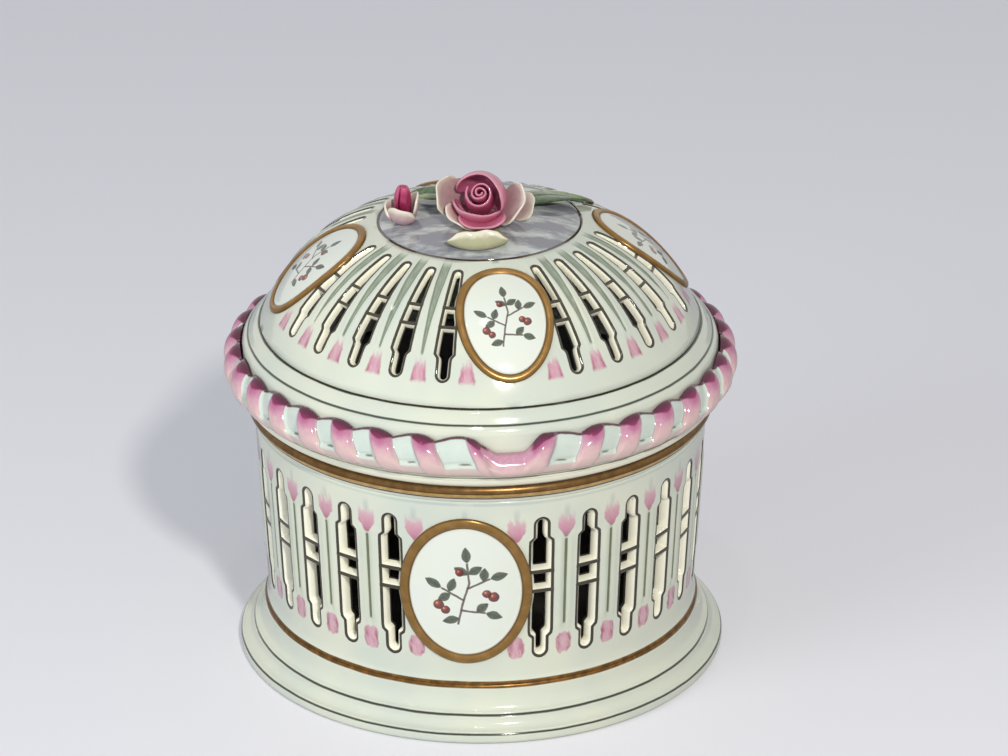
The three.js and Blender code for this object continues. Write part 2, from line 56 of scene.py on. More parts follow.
class Wire:
    """A value inside a material. Python's operators on it add Math nodes, and add() adds any other node."""

    def __init__(self, tree, socket=None):
        self.tree = tree
        self.socket = socket

    def add(self, kind, settings=None, sockets=None, output=0):
        node = self.tree.nodes.new(kind)
        for name, value in (settings or {}).items():
            setattr(node, name, value)
        for name, value in (sockets or {}).items():
            if isinstance(value, Wire):
                self.tree.links.new(value.socket, node.inputs[name])
            else:
                node.inputs[name].default_value = value
        return Wire(self.tree, node.outputs[output])

    def math(self, operation, *others):
        return self.add("ShaderNodeMath", {"operation": operation}, dict(enumerate((self, *others))))

    def __add__(self, other):
        return self.math("ADD", other)

    __radd__ = __add__

    def __sub__(self, other):
        return self.math("SUBTRACT", other)

    def __rsub__(self, other):
        return self.math("MULTIPLY", -1.0) + other

    def __mul__(self, other):
        return self.math("MULTIPLY", other)

    def __truediv__(self, other):
        return self.math("DIVIDE", other)

    def __pow__(self, other):
        return self.math("POWER", other)

    def __abs__(self):
        return self.math("ABSOLUTE")

    def fold(self, pitch):
        """Distance to the nearest multiple of a pitch."""
        return self.math("PINGPONG", pitch / 2)

    def rise(self, low, high):
        """0 below low and 1 above high, with a soft step between, or the reverse if low is the higher."""
        return self.add(
            "ShaderNodeMapRange",
            {"interpolation_type": "SMOOTHSTEP"},
            {0: self, 1: min(low, high), 2: max(low, high), 3: float(low > high), 4: float(low < high)},
        )

    def band(self, centre, width, soft=0.15):
        """1 within half a width of the centre."""
        return abs(self - centre).rise(width / 2 + soft, width / 2 - soft)

    def least(self, other):
        return self.math("MINIMUM", other)

    def most(self, other):
        return self.math("MAXIMUM", other)

    def part(self, axis):
        return self.add("ShaderNodeSeparateXYZ", sockets={0: self}, output="XYZ".index(axis))

    def blend(self, under, over):
        """The colour under, with the colour over laid on it where this value is 1."""
        return self.add("ShaderNodeMix", {"data_type": "RGBA"}, {0: self, 6: under, 7: over}, output=2)

    def clouds(self, size, detail=2.0, rough=0.5):
        """Noise round 0, between about -0.5 and 0.5, with patches of about that size."""
        sockets = {"Vector": self, "Scale": 1 / size, "Detail": detail, "Roughness": rough}
        return self.add("ShaderNodeTexNoise", sockets=sockets) - 0.5

    def attribute(self, name):
        """A measure that the piece's own mesh carries."""
        return self.add("ShaderNodeAttribute", {"attribute_name": name}, output=2)

    def flat_map(self):
        """Across and up on the piece's own flat map."""
        flat = self.add("ShaderNodeUVMap", {"uv_map": "laid_out"})
        return flat.part("X"), flat.part("Y")


GLAZE = shade(224, 226, 206)
GLAZE_COOL = shade(208, 215, 202)
GLAZE_WARM = shade(238, 234, 208)
LINE = shade(52, 54, 42)
GOLD = shade(150, 108, 52)
GOLD_WORN = shade(104, 74, 36)


def glazed(name, paint, gloss=0.1, ripple=0.05, coat=0.35):
    """A glazed and painted finish. paint(place), in millimetres, gives its colour and how gilt it is."""
    material = bpy.data.materials.new(name)
    material.use_nodes = True
    tree = material.node_tree
    start = Wire(tree)
    metres = start.add("ShaderNodeTexCoord", output=3)
    place = metres.add("ShaderNodeVectorMath", {"operation": "SCALE"}, {0: metres, "Scale": 1000.0})
    colour, gilt = paint(place)
    shader = tree.nodes["Principled BSDF"]
    smear = place.clouds(14, 4)
    rough = gloss + smear * gloss * 0.8
    if isinstance(gilt, Wire):
        rough = rough + gilt * 0.2
        tree.links.new((gilt * 0.75).socket, shader.inputs["Metallic"])
        tree.links.new(((1 - gilt) * coat).socket, shader.inputs["Coat Weight"])
    else:
        shader.inputs["Coat Weight"].default_value = coat
    tree.links.new(colour.socket, shader.inputs["Base Color"])
    tree.links.new(rough.socket, shader.inputs["Roughness"])
    shader.inputs["Coat Roughness"].default_value = 0.04
    swell = place.clouds(9, 1) + place.clouds(0.7, 2) * 0.04
    bump = swell.add("ShaderNodeBump", sockets={"Strength": 0.6, "Distance": ripple * 0.001, "Height": swell})
    tree.links.new(bump.socket, shader.inputs["Normal"])
    return material


def bare_glaze(place):
    """The glaze itself: pale grey-green, bluer where it has pooled thick and creamier where it is thin."""
    pooled = (place.clouds(30, 2) * 1.6 + 0.5).rise(0.1, 0.9)
    base = pooled.blend(GLAZE_COOL, GLAZE)
    return (place.clouds(6, 3) * 1.2 + 0.4).rise(0.5, 1.1).blend(base, GLAZE_WARM)


def ring_coordinates(place):
    """Distance from the jar's axis, and height."""
    x, y = place.part("X"), place.part("Y")
    return (x * x + y * y) ** 0.5, place.part("Z")


def gilded(place, gilt, colour):
    """A colour with worn gold laid on it where it is gilt, and how gilt it is."""
    worn = (place.clouds(2.5, 4) + 0.5).rise(0.35, 0.75)
    return gilt.blend(colour, worn.blend(GOLD_WORN, GOLD)), gilt


def foot_paint(place):
    radius, height = ring_coordinates(place)
    shaky = height + place.clouds(12, 3) * 0.35
    gilt = shaky.band(gilt_line_height, 1.9, 0.2)
    lines = shaky.band(foot_line_heights[0], 0.55).most(shaky.band(foot_line_heights[1], 0.7))
    lines = lines * radius.rise(60, 62)
    colour = lines.blend(bare_glaze(place), LINE)
    # the floor inside the jar is painted dark, as painted shade like the inside of the wall
    colour = (radius.rise(61.5, 60.5) * height.rise(5, 6)).blend(colour, shade(66, 62, 58))
    return gilded(place, gilt, colour)


def eased(points, radius=0.6, steps=3):
    """A profile with its inner corners rounded off."""
    flat = [Vector(point) for point in points]
    out = [flat[0]]
    for before, corner, after in zip(flat, flat[1:], flat[2:]):
        reach = min(radius, (before - corner).length * 0.45, (after - corner).length * 0.45)
        start = corner + (before - corner).normalized() * reach
        end = corner + (after - corner).normalized() * reach
        for i in range(steps + 1):
            t = i / steps
            out.append(start * (1 - t) ** 2 + corner * 2 * t * (1 - t) + end * t * t)
    return out + [flat[-1]]


def cove(start, end, steps=10):
    """Points down a hollow moulding from one profile point to another."""
    wide, tall = end[0] - start[0], end[1] - start[1]
    turns = [math.pi / 2 * i / steps for i in range(steps + 1)]
    return [(start[0] + wide * math.sin(t), start[1] + tall * (1 - math.cos(t))) for t in turns]


def turned(profile, steps=180):
    """A closed profile, in radius and height, spun about the jar's axis."""
    bm = bmesh.new()
    corners = [bm.verts.new((0, -r, z)) for r, z in profile]
    closed = profile[0][0] > 1e-6
    rims = [bm.edges.new(pair) for pair in zip(corners, corners[1:] + corners[:1] if closed else corners[1:])]
    bmesh.ops.spin(
        bm, geom=corners + rims, cent=(0, 0, 0), axis=(0, 0, 1), angle=2 * math.pi, steps=steps, use_merge=True
    )
    bmesh.ops.remove_doubles(bm, verts=bm.verts, dist=0.002)
    bmesh.ops.recalc_face_normals(bm, faces=bm.faces)
    return bm


def fired(name, bm, body, slot, *finishes):
    """Makes a finished piece, in metres, of a mesh worked in millimetres."""
    bmesh.ops.scale(bm, vec=Vector((0.001, 0.001, 0.001)), verts=bm.verts)
    mesh = bpy.data.meshes.new(name)
    bm.to_mesh(mesh)
    bm.free()
    mesh.polygons.foreach_set("use_smooth", [True] * len(mesh.polygons))
    for finish in finishes:
        mesh.materials.append(finish)
    piece = bpy.data.objects.new(name, mesh)
    bpy.context.scene.collection.objects.link(piece)
    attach(piece, body)
    return piece


foot_profile = eased(
    [(0.0, 3.5), (61.5, 3.5), (62.6, 0.05), (71.0, 0.05), (foot_radius, 0.9), (foot_radius, 3.2)]
    + cove((71.3, 3.9), (foot_step_radius + 0.4, 7.0))
    + [(foot_step_radius, 7.2), (foot_step_radius - 0.1, 7.9)]
    + cove((67.2, 8.2), (64.7, 14.2))
    + [(64.5, 14.6), (64.35, 15.4)],
    0.5,
) + [Vector((60.2, 15.4)), Vector((60.1, 13.0))] + [
    Vector((55.1 + 5 * math.cos(t), 13 - 5 * math.sin(t))) for t in (0.3, 0.6, 0.9, 1.2, math.pi / 2)
] + [Vector((0.0, 8.0))]
foot = fired("foot", turned(foot_profile), "jar", "porcelain", glazed("foot_glaze", foot_paint))
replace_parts(foot, "jar_foot")


# Drum wall. Cast, and pierced by hand while leather hard: twelve baluster slots between its two medallions on
# each side, each crossed by two slim bars. The slots' edges are outlined in dark brown, a green line runs down
# every rib, and a pink husk is painted above and below it.
wall_span = (gilt_line_height, 74.8)
wall_slots = {
    "share": 180, "slots": 12, "pitch": 360 / 28, "start": 23.6, "length": 44.6,
    "neck": 3.6, "neck_length": 6.0, "wide": (6.2, 6.2), "necks": (True, True),
    "bars": (44.8, 51.0), "bar": 1.0, "line": 0.8, "medallion": (19.2, 23.6, 45.9),
    "thickness": 4.6, "lip": 3.2, "slope": 0.95,
}
wall_degree = 1.134  # millimetres to a degree round the wall
rib_reach = 3.2  # how far a rib's modelling goes from its middle


def wall_skin(height):
    """Radius and height of the drum wall's outside: a slight cone with a short sweep into the foot."""
    cone = 63.3 + (height - 18.3) * 0.0549
    return Vector((cone + 1.16 * math.exp((gilt_line_height - height) / 1.75), height))


def laid(skin, angle, along, depth):
    """A point on the object: degrees round from the front, a way along the skin, and a depth into it."""
    at = skin(along)
    run = (skin(along + 0.05) - skin(along - 0.05)).normalized()
    radius, height = at.x - run.y * depth, at.y + run.x * depth
    turn = math.radians(angle)
    return Vector((radius * math.sin(turn), -radius * math.cos(turn), height))


def half_width(slots, along):
    """Half the width of a slot at a distance from its foot end."""
    length, neck, necks = slots["length"], slots["neck"], slots["necks"]
    foot_wide, head_wide = slots["wide"]
    body = (foot_wide + (head_wide - foot_wide) * along / length) / 2
    for end, distance in zip(necks, (along, length - along)):
        round_end = (neck if end else head_wide) / 2
        if distance < round_end:
            body = min(body, math.sqrt(max(0.0, round_end ** 2 - (round_end - distance) ** 2)))
        elif end and distance < slots["neck_length"] + 1.5:
            share = max(0.0, distance - slots["neck_length"]) / 1.5
            body = neck / 2 + (body - neck / 2) * share * share * (3 - 2 * share)
    return body


def window_outlines(slots, skin):
    """The windows of every slot in a share, as (degrees, along) corners, each with its painted line's."""
    outlines = []
    start, length = slots["start"], slots["length"]
    low, high = slots["bars"]
    half_bar = slots["bar"] / 2
    bottoms = (start, low + half_bar, high + half_bar)
    tops = (low - half_bar, high - half_bar, start + length)
    wide, tall, middle = slots["medallion"]
    last = (slots["slots"] - 1) / 2
    for number in (i - last for i in range(slots["slots"])):
        centre = slots["share"] / 2 + number * slots["pitch"]
        toward = -1 if number < 0 else 1
        for bottom, top in zip(bottoms, tops):
            count = max(6, round((top - bottom) / 0.7))
            shares = [0.5 - 0.5 * math.cos(math.pi * i / count) for i in range(count + 1)]
            heights = [bottom + (top - bottom) * share for share in shares]
            sides = []
            for side in (1, -1):
                for height in heights[::side]:
                    across = side * half_width(slots, min(max(height - start, 0.02), length - 0.02))
                    grip = 1 - ((height - middle) / (tall + 0.1)) ** 2
                    if abs(number) == last and side == toward and grip > 0:
                        reach = (slots["share"] / 2 - last * slots["pitch"]) * math.radians(1) * skin(height).x
                        across = side * min(abs(across), reach - (wide + 0.1) * math.sqrt(grip))
                    sides.append(Vector((across, height)))
            corners = [p for i, p in enumerate(sides) if (p - sides[i - 1]).length > 0.03]
            # the straight sill and lintel get corners of their own, so that the painted line turns square there
            filled = []
            for i, p in enumerate(corners):
                previous = corners[i - 1]
                steps = max(1, round((p - previous).length / 0.9))
                filled += [previous.lerp(p, k / steps) for k in range(1, steps + 1)]
            pushed = []
            lowest = bottom - (slots["line"] if bottom == start else slots["bar"] * 0.35)
            highest = top + (slots["line"] if top == start + length else slots["bar"] * 0.35)
            for i, p in enumerate(filled):
                into = (p - filled[i - 1]).normalized()
                out = (filled[(i + 1) % len(filled)] - p).normalized()
                across = Vector((into.y + out.y, -into.x - out.x)).normalized()
                square = max(0.6, across.dot(Vector((into.y, -into.x))))
                line = p + across * slots["line"] / square
                pushed.append(Vector((line.x, min(highest, max(lowest, line.y)))))
            outlines.append([
                [(centre + math.degrees(p.x / skin(p.y).x), p.y) for p in line] for line in (filled, pushed)
            ])
    return outlines


def extruded(bm, edges):
    """Extrudes edges in place. Gives the new edges and the new vertices."""
    made = bmesh.ops.extrude_edge_only(bm, edges=edges)["geom"]
    return [[g for g in made if isinstance(g, kind)] for kind in (bmesh.types.BMEdge, bmesh.types.BMVert)]


def everything(bm):
    return bm.verts[:] + bm.edges[:] + bm.faces[:]


def pierced(slots, skin, span, columns, rows, relief):
    """The pierced wall. A share of it is cut out flat, in degrees and millimetres, bent round and repeated."""
    bm = bmesh.new()
    edge_at = bm.verts.layers.float_vector.new("edge_at")
    line_at = bm.verts.layers.float_vector.new("line_at")
    paint = bm.verts.layers.float.new("paint")
    low, high = span
    share, thickness, lip = slots["share"], slots["thickness"], slots["lip"]
    corners = [bm.verts.new(c) for c in ((0, low, 0), (share, low, 0), (share, high, 0), (0, high, 0))]
    rims = [bm.edges.new((a, b)) for a, b in zip(corners, corners[1:] + corners[:1])]
    for edge, line in window_outlines(slots, skin):
        loop = [bm.verts.new((*p, 0)) for p in line]
        for vertex, cut, drawn in zip(loop, edge, line):
            vertex[edge_at] = (*cut, 0)
            vertex[line_at] = (*drawn, 0)
        rims += [bm.edges.new((a, b)) for a, b in zip(loop, loop[1:] + loop[:1])]
    bmesh.ops.triangle_fill(bm, edges=rims, use_beauty=True, normal=(0, 0, 1))
    for normal, places in (((1, 0, 0), columns), ((0, 1, 0), rows)):
        for at in places:
            place = Vector(normal) * at
            bmesh.ops.bisect_plane(bm, geom=everything(bm), dist=0.0005, plane_co=place, plane_no=normal)
    for vertex in bm.verts:
        vertex[paint] = 1.0
    outer, inner = [], []
    for edge in bm.edges:
        if not edge.is_boundary:
            continue
        a, b = (v.co for v in edge.verts)
        if abs(a.y - b.y) < 1e-4 and (abs(a.y - low) < 1e-4 or abs(a.y - high) < 1e-4):
            outer.append(edge)
        elif not (abs(a.x - b.x) < 1e-4 and (abs(a.x) < 1e-4 or abs(a.x - share) < 1e-4)):
            inner.append(edge)
    slope = slots["slope"]
    # the cut edge, from the painted line into the wall: share of the way back to the line, depth, and paint
    cut_edge = (
        (0.5, 0, 0.2), (0.12, 0.05, 0.2), (0, 0.15, 0.3), (-0.12, 0.3, 0.9), (-0.24, 0.45, 2),
        (-slope, 1.1, 2), (-slope, lip, 2),
    )
    for toward_line, depth, bare in cut_edge:
        inner, fresh = extruded(bm, inner)
        for vertex in fresh:
            outward = (vertex[line_at] - vertex[edge_at]) * toward_line
            vertex.co = vertex[edge_at] + outward - Vector((0, 0, depth))
            vertex[paint] = bare
    for vertex in extruded(bm, outer)[1]:
        vertex.co.z = -lip
    laid_out = bm.loops.layers.uv.new("laid_out")
    for face in bm.faces:
        for loop in face.loops:
            loop[laid_out].uv = loop.vert.co.xy
    back = bmesh.ops.duplicate(bm, geom=everything(bm))["geom"]
    for g in back:
        if isinstance(g, bmesh.types.BMVert):
            g.co.z = -thickness - g.co.z * (thickness - lip) / lip
            g[paint] = 2.0
        elif isinstance(g, bmesh.types.BMFace):
            g.material_index = 1
    for vertex in bm.verts:
        angle, along, height = vertex.co
        if height > -0.04:
            height += relief(angle, along) * min(1, vertex[paint])
        vertex.co = laid(skin, angle, along, -height)
    first = everything(bm)
    for turn in range(share, 360, share):
        copy = bmesh.ops.duplicate(bm, geom=first)["geom"]
        verts = [g for g in copy if isinstance(g, bmesh.types.BMVert)]
        turned_round = Matrix.Rotation(math.radians(turn), 3, "Z")
        bmesh.ops.rotate(bm, verts=verts, cent=(0, 0, 0), matrix=turned_round)
    bmesh.ops.remove_doubles(bm, verts=bm.verts, dist=0.004)
    bmesh.ops.recalc_face_normals(bm, faces=bm.faces)
    return bm


def share_columns(slots, fine, coarse):
    """Where a share is divided, finely across the ribs and coarsely behind the medallions."""
    share = slots["share"]
    first = share / 2 - (slots["slots"] / 2 + 0.1) * slots["pitch"]
    ribbed = share - 2 * first
    count = round(ribbed / fine)
    side = [coarse * i for i in range(1, int(first / coarse) + 1)]
    return side + [first + ribbed * i / count for i in range(count + 1)] + [share - c for c in side[::-1]]


def rib_degrees(slots, angle):
    """Degrees from the middle of the nearest rib, and whether a rib stands there."""
    from_middle = abs(angle - slots["share"] / 2)
    across = (from_middle + slots["pitch"] / 2 * (slots["slots"] % 2)) % slots["pitch"]
    return min(across, slots["pitch"] - across), from_middle < slots["slots"] / 2 * slots["pitch"] - 3.4


def wall_relief(angle, along):
    """The modelling of the ribs: a groove down the middle with a soft roll on each side of it."""
    across, stands = rib_degrees(wall_slots, angle)
    across *= wall_degree
    if not stands or across > rib_reach:
        return 0.0
    ends = min(1, max(0, (along - 30.5) / 3)) * min(1, max(0, (62.5 - along) / 3))
    roll = 0.34 * math.exp(-((across - 1.5) / 0.8) ** 2)
    return ends * (roll - 0.34 * math.exp(-(across / 0.5) ** 2))


PINK = shade(192, 108, 140)
PINK_DEEP = shade(152, 58, 98)
PINK_PALE = shade(210, 150, 170)
RIB_GREEN = shade(88, 94, 62)
COOL_GREY = shade(150, 165, 168)
OUTLINE = shade(58, 52, 36)
# the slots' cut walls: their own cream, painted brighter as painted light
LIT_CUT_CREAM = shade(254, 251, 232)


def painted_lines(place, slots, along, slot, from_middle):
    """How much of the dark outline lies here, from the piece's paint measure, and how much bare cut edge."""
    reach = place.attribute("paint")
    outline = (reach + place.clouds(3, 3) * 0.15).rise(0.92, 0.8)
    half = max(slots["wide"]) / 2 + slots["line"]
    last = (slots["slots"] - 1) / 2 * slots["pitch"]
    for bar in slots["bars"]:
        band = along.band(bar, 1.0, 0.08) * slot.rise(half + 0.1, half - 0.1)
        band = band * from_middle.rise(last + 4.4, last + 4.1)
        outline = outline.most(band * reach.rise(1.7, 1.3))
    return outline, reach.rise(1.1, 1.5)


def slot_and_rib(slots, from_middle):
    """Degrees from the middle of the nearest slot and of the nearest rib, and where ribs stand."""
    pitch = slots["pitch"]
    odd = slots["slots"] % 2
    last = (slots["slots"] - 1) / 2 * pitch
    ribbed = from_middle.rise(last - 1.9, last - 3.9)
    slot, rib = ((from_middle + pitch / 2 * shift).fold(pitch) for shift in (1 - odd, odd))
    return slot, rib, ribbed


def brushwork(place, angle, along, slant):
    """The brush's strokes, the light and dark they leave, how ragged painted edges are, and their drift."""
    stretched = place.add("ShaderNodeCombineXYZ", sockets={0: angle + along * slant, 1: along * 0.25})
    strokes = stretched.clouds(0.9, 3)
    drift = place.clouds(5, 3)
    return strokes, (strokes + 0.5).rise(0.36, 0.66), place.clouds(1.8, 3) * 1.6 + drift, drift


def wall_paint(place):
    angle, along = place.flat_map()
    strokes, streak, ragged, drift = brushwork(place, angle, along, 0.2)
    from_middle = abs(angle - wall_slots["share"] / 2)
    slot, rib, ribbed = slot_and_rib(wall_slots, from_middle)
    slot, rib = slot * wall_degree, rib * wall_degree
    outline, cut = painted_lines(place, wall_slots, along, slot, from_middle)
    groove = (rib + drift * 0.2).rise(0.56, 0.3) * along.rise(32.5, 33.5) * along.rise(61.2, 60.4) * ribbed
    green_wash = rib.rise(2.8, 0.6) * along.rise(29, 33) * along.rise(64, 60) * ribbed
    tulip = (rib - (along - 61.0) * 0.7 + ragged * 0.7).rise(0.4, -0.25) * along.rise(60.9, 61.6)
    tulip = tulip * (along + strokes * 7 + ragged).rise(69.6, 66.0) * (rib + ragged * 0.6).rise(2.9, 2.2)
    berry = (rib / 2.5) ** 3 + (abs(along - 26.8) / 3.6) ** 3 + ragged * 0.5 + strokes * 1.6
    berry = berry.rise(1.2, 0.6)
    # a faint blue-grey wash down the middle of each rib just under the collar
    rib_top_grey = (rib + drift).rise(1.3, 0.2) * along.rise(67, 69) * along.rise(73, 70) * 0.3
    colour = (green_wash * 0.3).blend(bare_glaze(place), shade(190, 200, 168))
    colour = rib_top_grey.blend(colour, COOL_GREY)
    tulip_colour = (along + streak * 2.4).rise(68, 63).blend(PINK_PALE, PINK)
    tulip_colour = (along + streak * 2.4).rise(64.6, 62).blend(tulip_colour, PINK_DEEP)
    colour = (tulip * (0.7 + streak * 0.3)).blend(colour, tulip_colour)
    berry_colour = (rib + ragged).rise(0.4, 2.2).blend(PINK_PALE, streak.blend(PINK, PINK_DEEP))
    colour = (berry * (0.7 + streak * 0.25)).blend(colour, berry_colour)
    colour = (groove * 0.9).blend(colour, RIB_GREEN)
    # a band of painted shadow just under the collar
    shadow = along.band(73.9, 0.9, 0.4) * 0.4
    colour = shadow.blend(colour, COOL_GREY)
    # dark outlines, and the cut walls in a cream brightened as painted light
    colour = outline.blend(cut.blend(colour, LIT_CUT_CREAM), OUTLINE)
    gilt = (along + place.clouds(12, 3) * 0.35).rise(gilt_line_height + 1.1, gilt_line_height + 0.8)
    return gilded(place, gilt, colour)


def inside_shade_paint(place):
    """The body inside, thinly glazed, its colour darkened as painted shade where it shows through the piercing.
    """
    return (place.clouds(20, 3) + 0.5).rise(0.2, 0.8).blend(shade(78, 72, 66), shade(56, 54, 52)), 0


inside_shaded_glaze = glazed("inside_shaded_glaze", inside_shade_paint, 0.3, coat=0.0)
wall = fired(
    "pierced_wall",
    pierced(
        wall_slots, wall_skin, wall_span, share_columns(wall_slots, 0.62, 2.5),
        [wall_span[0] + 0.6 + 1.9 * i for i in range(31)], wall_relief,
    ),
    "jar", "porcelain", glazed("wall_glaze", wall_paint), inside_shaded_glaze,
)
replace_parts(wall, "jar_wall")


# Collar. Above the piercing the wall is stiffened by a turned ring: a fillet, a bold gilt bead and a hollow
# flare that ends in the flat rim the lid stands on. The bead is gilt, with its edges lined dark.
bead_turns = [math.radians(-66 + 132 * i / 14) for i in range(15)]
collar_profile = eased(
    [(61.9, 74.8), (66.4, 74.8), (66.9, 75.6), (67.2, 76.2)]
    + [(66.4 + 2.0 * math.cos(t), 78.35 + 1.95 * math.sin(t)) for t in bead_turns]
    + [(67.25, 80.5)]
    + cove((67.3, 80.6), (70.1, 83.4))[3:]
    + [(70.5, 83.6), (70.5, 84.0), (63.6, 84.0), (63.4, 83.6), (63.3, 76.4), (61.9, 74.8)],
    0.35,
)


def collar_paint(place):
    radius, height = ring_coordinates(place)
    shaky = height + place.clouds(14, 3) * 0.3
    gilt = shaky.band(78.4, 3.7, 0.12) * radius.rise(66, 66.4)
    dark = shaky.band(76.3, 0.4, 0.12).most(shaky.band(78.2, 0.35, 0.15) * 0.7) * radius.rise(66, 66.4)
    worn = (place.clouds(2.5, 4) + 0.5).rise(0.3, 0.8)
    # the bead's lower half is painted bright gold as a painted reflection of the pale table, its upper half
    # dark brown as painted shade
    low = worn.blend(shade(196, 154, 88), shade(226, 190, 124))
    high = worn.blend(shade(108, 80, 44), shade(134, 102, 60))
    gold = shaky.rise(77.8, 78.3).blend(low, high)
    colour = shaky.rise(80.2, 81).blend(bare_glaze(place), shade(236, 234, 212))
    return dark.blend(gilt.blend(colour, gold), shade(74, 52, 26)), gilt


collar = fired("collar", turned(collar_profile[:-1]), "jar", "porcelain", glazed("collar_glaze", collar_paint))
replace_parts(collar, "jar_wall")


# Lid's edge. The lid drops a locating flange inside the jar's mouth and stands on the rim with a plain upright
# edge, which carries the ribbon border. Above the border a low moulding runs between two fine painted lines.
lid_turn = 12.4
lid_line_heights = (99.3, 102.9)
lid_edge_profile = eased(
    [(59.8, 77.3), (61.8, 77.3), (62.6, 78.8), (62.6, 84.3), (70.5, 84.3), (70.8, 84.9), (69.7, 85.8)]
    + [(69.6, 97.0), (69.0, 98.4), (67.8, 99.3), (67.2, 100.2), (66.5, 101.3), (65.5, 102.3), (64.5, 102.9)]
    + [(60.5, 100.9), (59.8, 99.0)],
    0.45,
)


def lid_edge_paint(place):
    radius, height = ring_coordinates(place)
    shaky = height + place.clouds(12, 3) * 0.25
    lines = shaky.band(lid_line_heights[0], 0.5).most(shaky.rise(102.6, 102.75)) * radius.rise(62.9, 63.1)
    return lines.blend(bare_glaze(place), shade(56, 66, 52)), 0


lid_edge = fired(
    "lid_edge", turned(lid_edge_profile), "lid", "porcelain", glazed("lid_edge_glaze", lid_edge_paint)
)
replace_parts(lid_edge, "lid_dome")


# Dome. Cast thin and pierced like the wall, with slots that taper towards the crown and stop at a painted ring.
# The outlines, grooves and husks are painted as on the wall.
dome_top = 137.0
dome_handles = ((63.6, 104.4), (55.8, 119.85), (42.0, dome_top), (0.0, dome_top))
dome_curve = [Vector(p) for p in geometry.interpolate_bezier(*dome_handles, 400)]
dome_walk = [0.0]
for a, b in zip(dome_curve, dome_curve[1:]):
    dome_walk.append(dome_walk[-1] + (b - a).length)
lid_slots = {
    "share": 90, "slots": 5, "pitch": 13.2, "start": 5.95, "length": 35.4,
    "neck": 3.1, "neck_length": 6.2, "wide": (5.9, 1.9), "necks": (True, False),
    "bars": (21.65, 27.85), "bar": 0.9, "line": 0.75, "medallion": (14.0, 18.5, 23.8),
    "thickness": 4.2, "lip": 2.4, "slope": 0.6,
}
crown_start = 46.35


def dome_skin(along):
    """Radius and height on the dome at a distance along it from its base, straight below the base."""
    if along <= 0:
        return dome_curve[0] + (dome_curve[1] - dome_curve[0]).normalized() * along
    low, high = 0, len(dome_walk) - 1
    while high - low > 1:
        middle = (low + high) // 2
        low, high = (middle, high) if dome_walk[middle] <= along else (low, middle)
    share = (along - dome_walk[low]) / (dome_walk[high] - dome_walk[low])
    return dome_curve[low].lerp(dome_curve[high], share)


def groove_half(along):
    """Half the width of the groove down a rib of the dome: a spear that opens towards the crown."""
    return 0.2 + 0.95 * max(0.0, min(1.0, (along - 14) / 22))


def dome_relief(angle, along):
    across, stands = rib_degrees(lid_slots, angle)
    across *= math.radians(dome_skin(along).x)
    if not stands or across > rib_reach:
        return 0.0
    ends = min(1, max(0, (along - 11) / 3)) * min(1, max(0, (44 - along) / 3))
    half = groove_half(along)
    ridge = 0.26 * math.exp(-((across - half - 0.6) / 0.55) ** 2)
    return ends * (ridge - 0.42 * max(0.0, 1 - (across / (half + 0.25)) ** 2))


def dome_paint(place):
    angle, along = place.flat_map()
    strokes, streak, ragged, drift = brushwork(place, angle, along, 0.15)
    radius, height = ring_coordinates(place)
    degree = radius * math.radians(1)
    from_middle = abs(angle - lid_slots["share"] / 2)
    slot, rib, ribbed = slot_and_rib(lid_slots, from_middle)
    slot, rib = slot * degree, rib * degree
    foot_wide, head_wide = lid_slots["wide"]
    taper = (along - lid_slots["start"]) * ((foot_wide - head_wide) / 2 / lid_slots["length"])
    outline, cut = painted_lines(place, lid_slots, along, slot + taper, from_middle)
    half = ((along - 14) / 22).most(0.0).least(1.0) * 0.95 + 0.2
    speared = along.rise(12.4, 13.6) * along.rise(45.5, 42) * ribbed
    spear = (rib - half + drift * 0.3).rise(0.2, -0.15) * speared
    spear_edge = abs(rib - half).rise(0.3, 0.1) * speared
    husk = (rib - 2.3 + (along - 5.2) * 0.16 + ragged * 0.5).rise(0.4, -0.4)
    husk = husk * (along + ragged * 0.8).rise(4.6, 6.0) * (along + strokes * 6 + ragged).rise(12.0, 9.2)
    pink = (rib + drift).rise(0.2, 2.2).blend(PINK_PALE, PINK)
    colour = (husk * (0.72 + streak * 0.25)).blend(bare_glaze(place), pink)
    colour = (husk * (rib + ragged * 1.2).rise(1.0, 2.3) * 0.6).blend(colour, PINK_DEEP)
    colour = (spear * 0.85).blend(colour, streak.blend(shade(118, 132, 110), shade(142, 154, 132)))
    colour = (spear_edge * 0.6).blend(colour, shade(84, 96, 76))
    # dark outlines, and the cut walls in a cream brightened as painted light
    colour = outline.blend(cut.blend(colour, LIT_CUT_CREAM), OUTLINE)
    ring = (along + place.clouds(12, 3) * 0.25).rise(crown_start - 0.7, crown_start - 0.45)
    base = (along + place.clouds(12, 3) * 0.2).rise(-1.3, -1.5)
    return ring.most(base).blend(colour, shade(74, 60, 44)), 0


dome = pierced(
    lid_slots, dome_skin, (-1.68, crown_start), share_columns(lid_slots, 0.8, 2.5),
    [0.6 + 1.9 * i for i in range(24)], dome_relief,
)
bmesh.ops.rotate(dome, verts=dome.verts, cent=(0, 0, 0), matrix=Matrix.Rotation(math.radians(lid_turn), 3, "Z"))
dome = fired("pierced_dome", dome, "lid", "porcelain", glazed("dome_glaze", dome_paint), inside_shaded_glaze)
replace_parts(dome, "lid_dome")


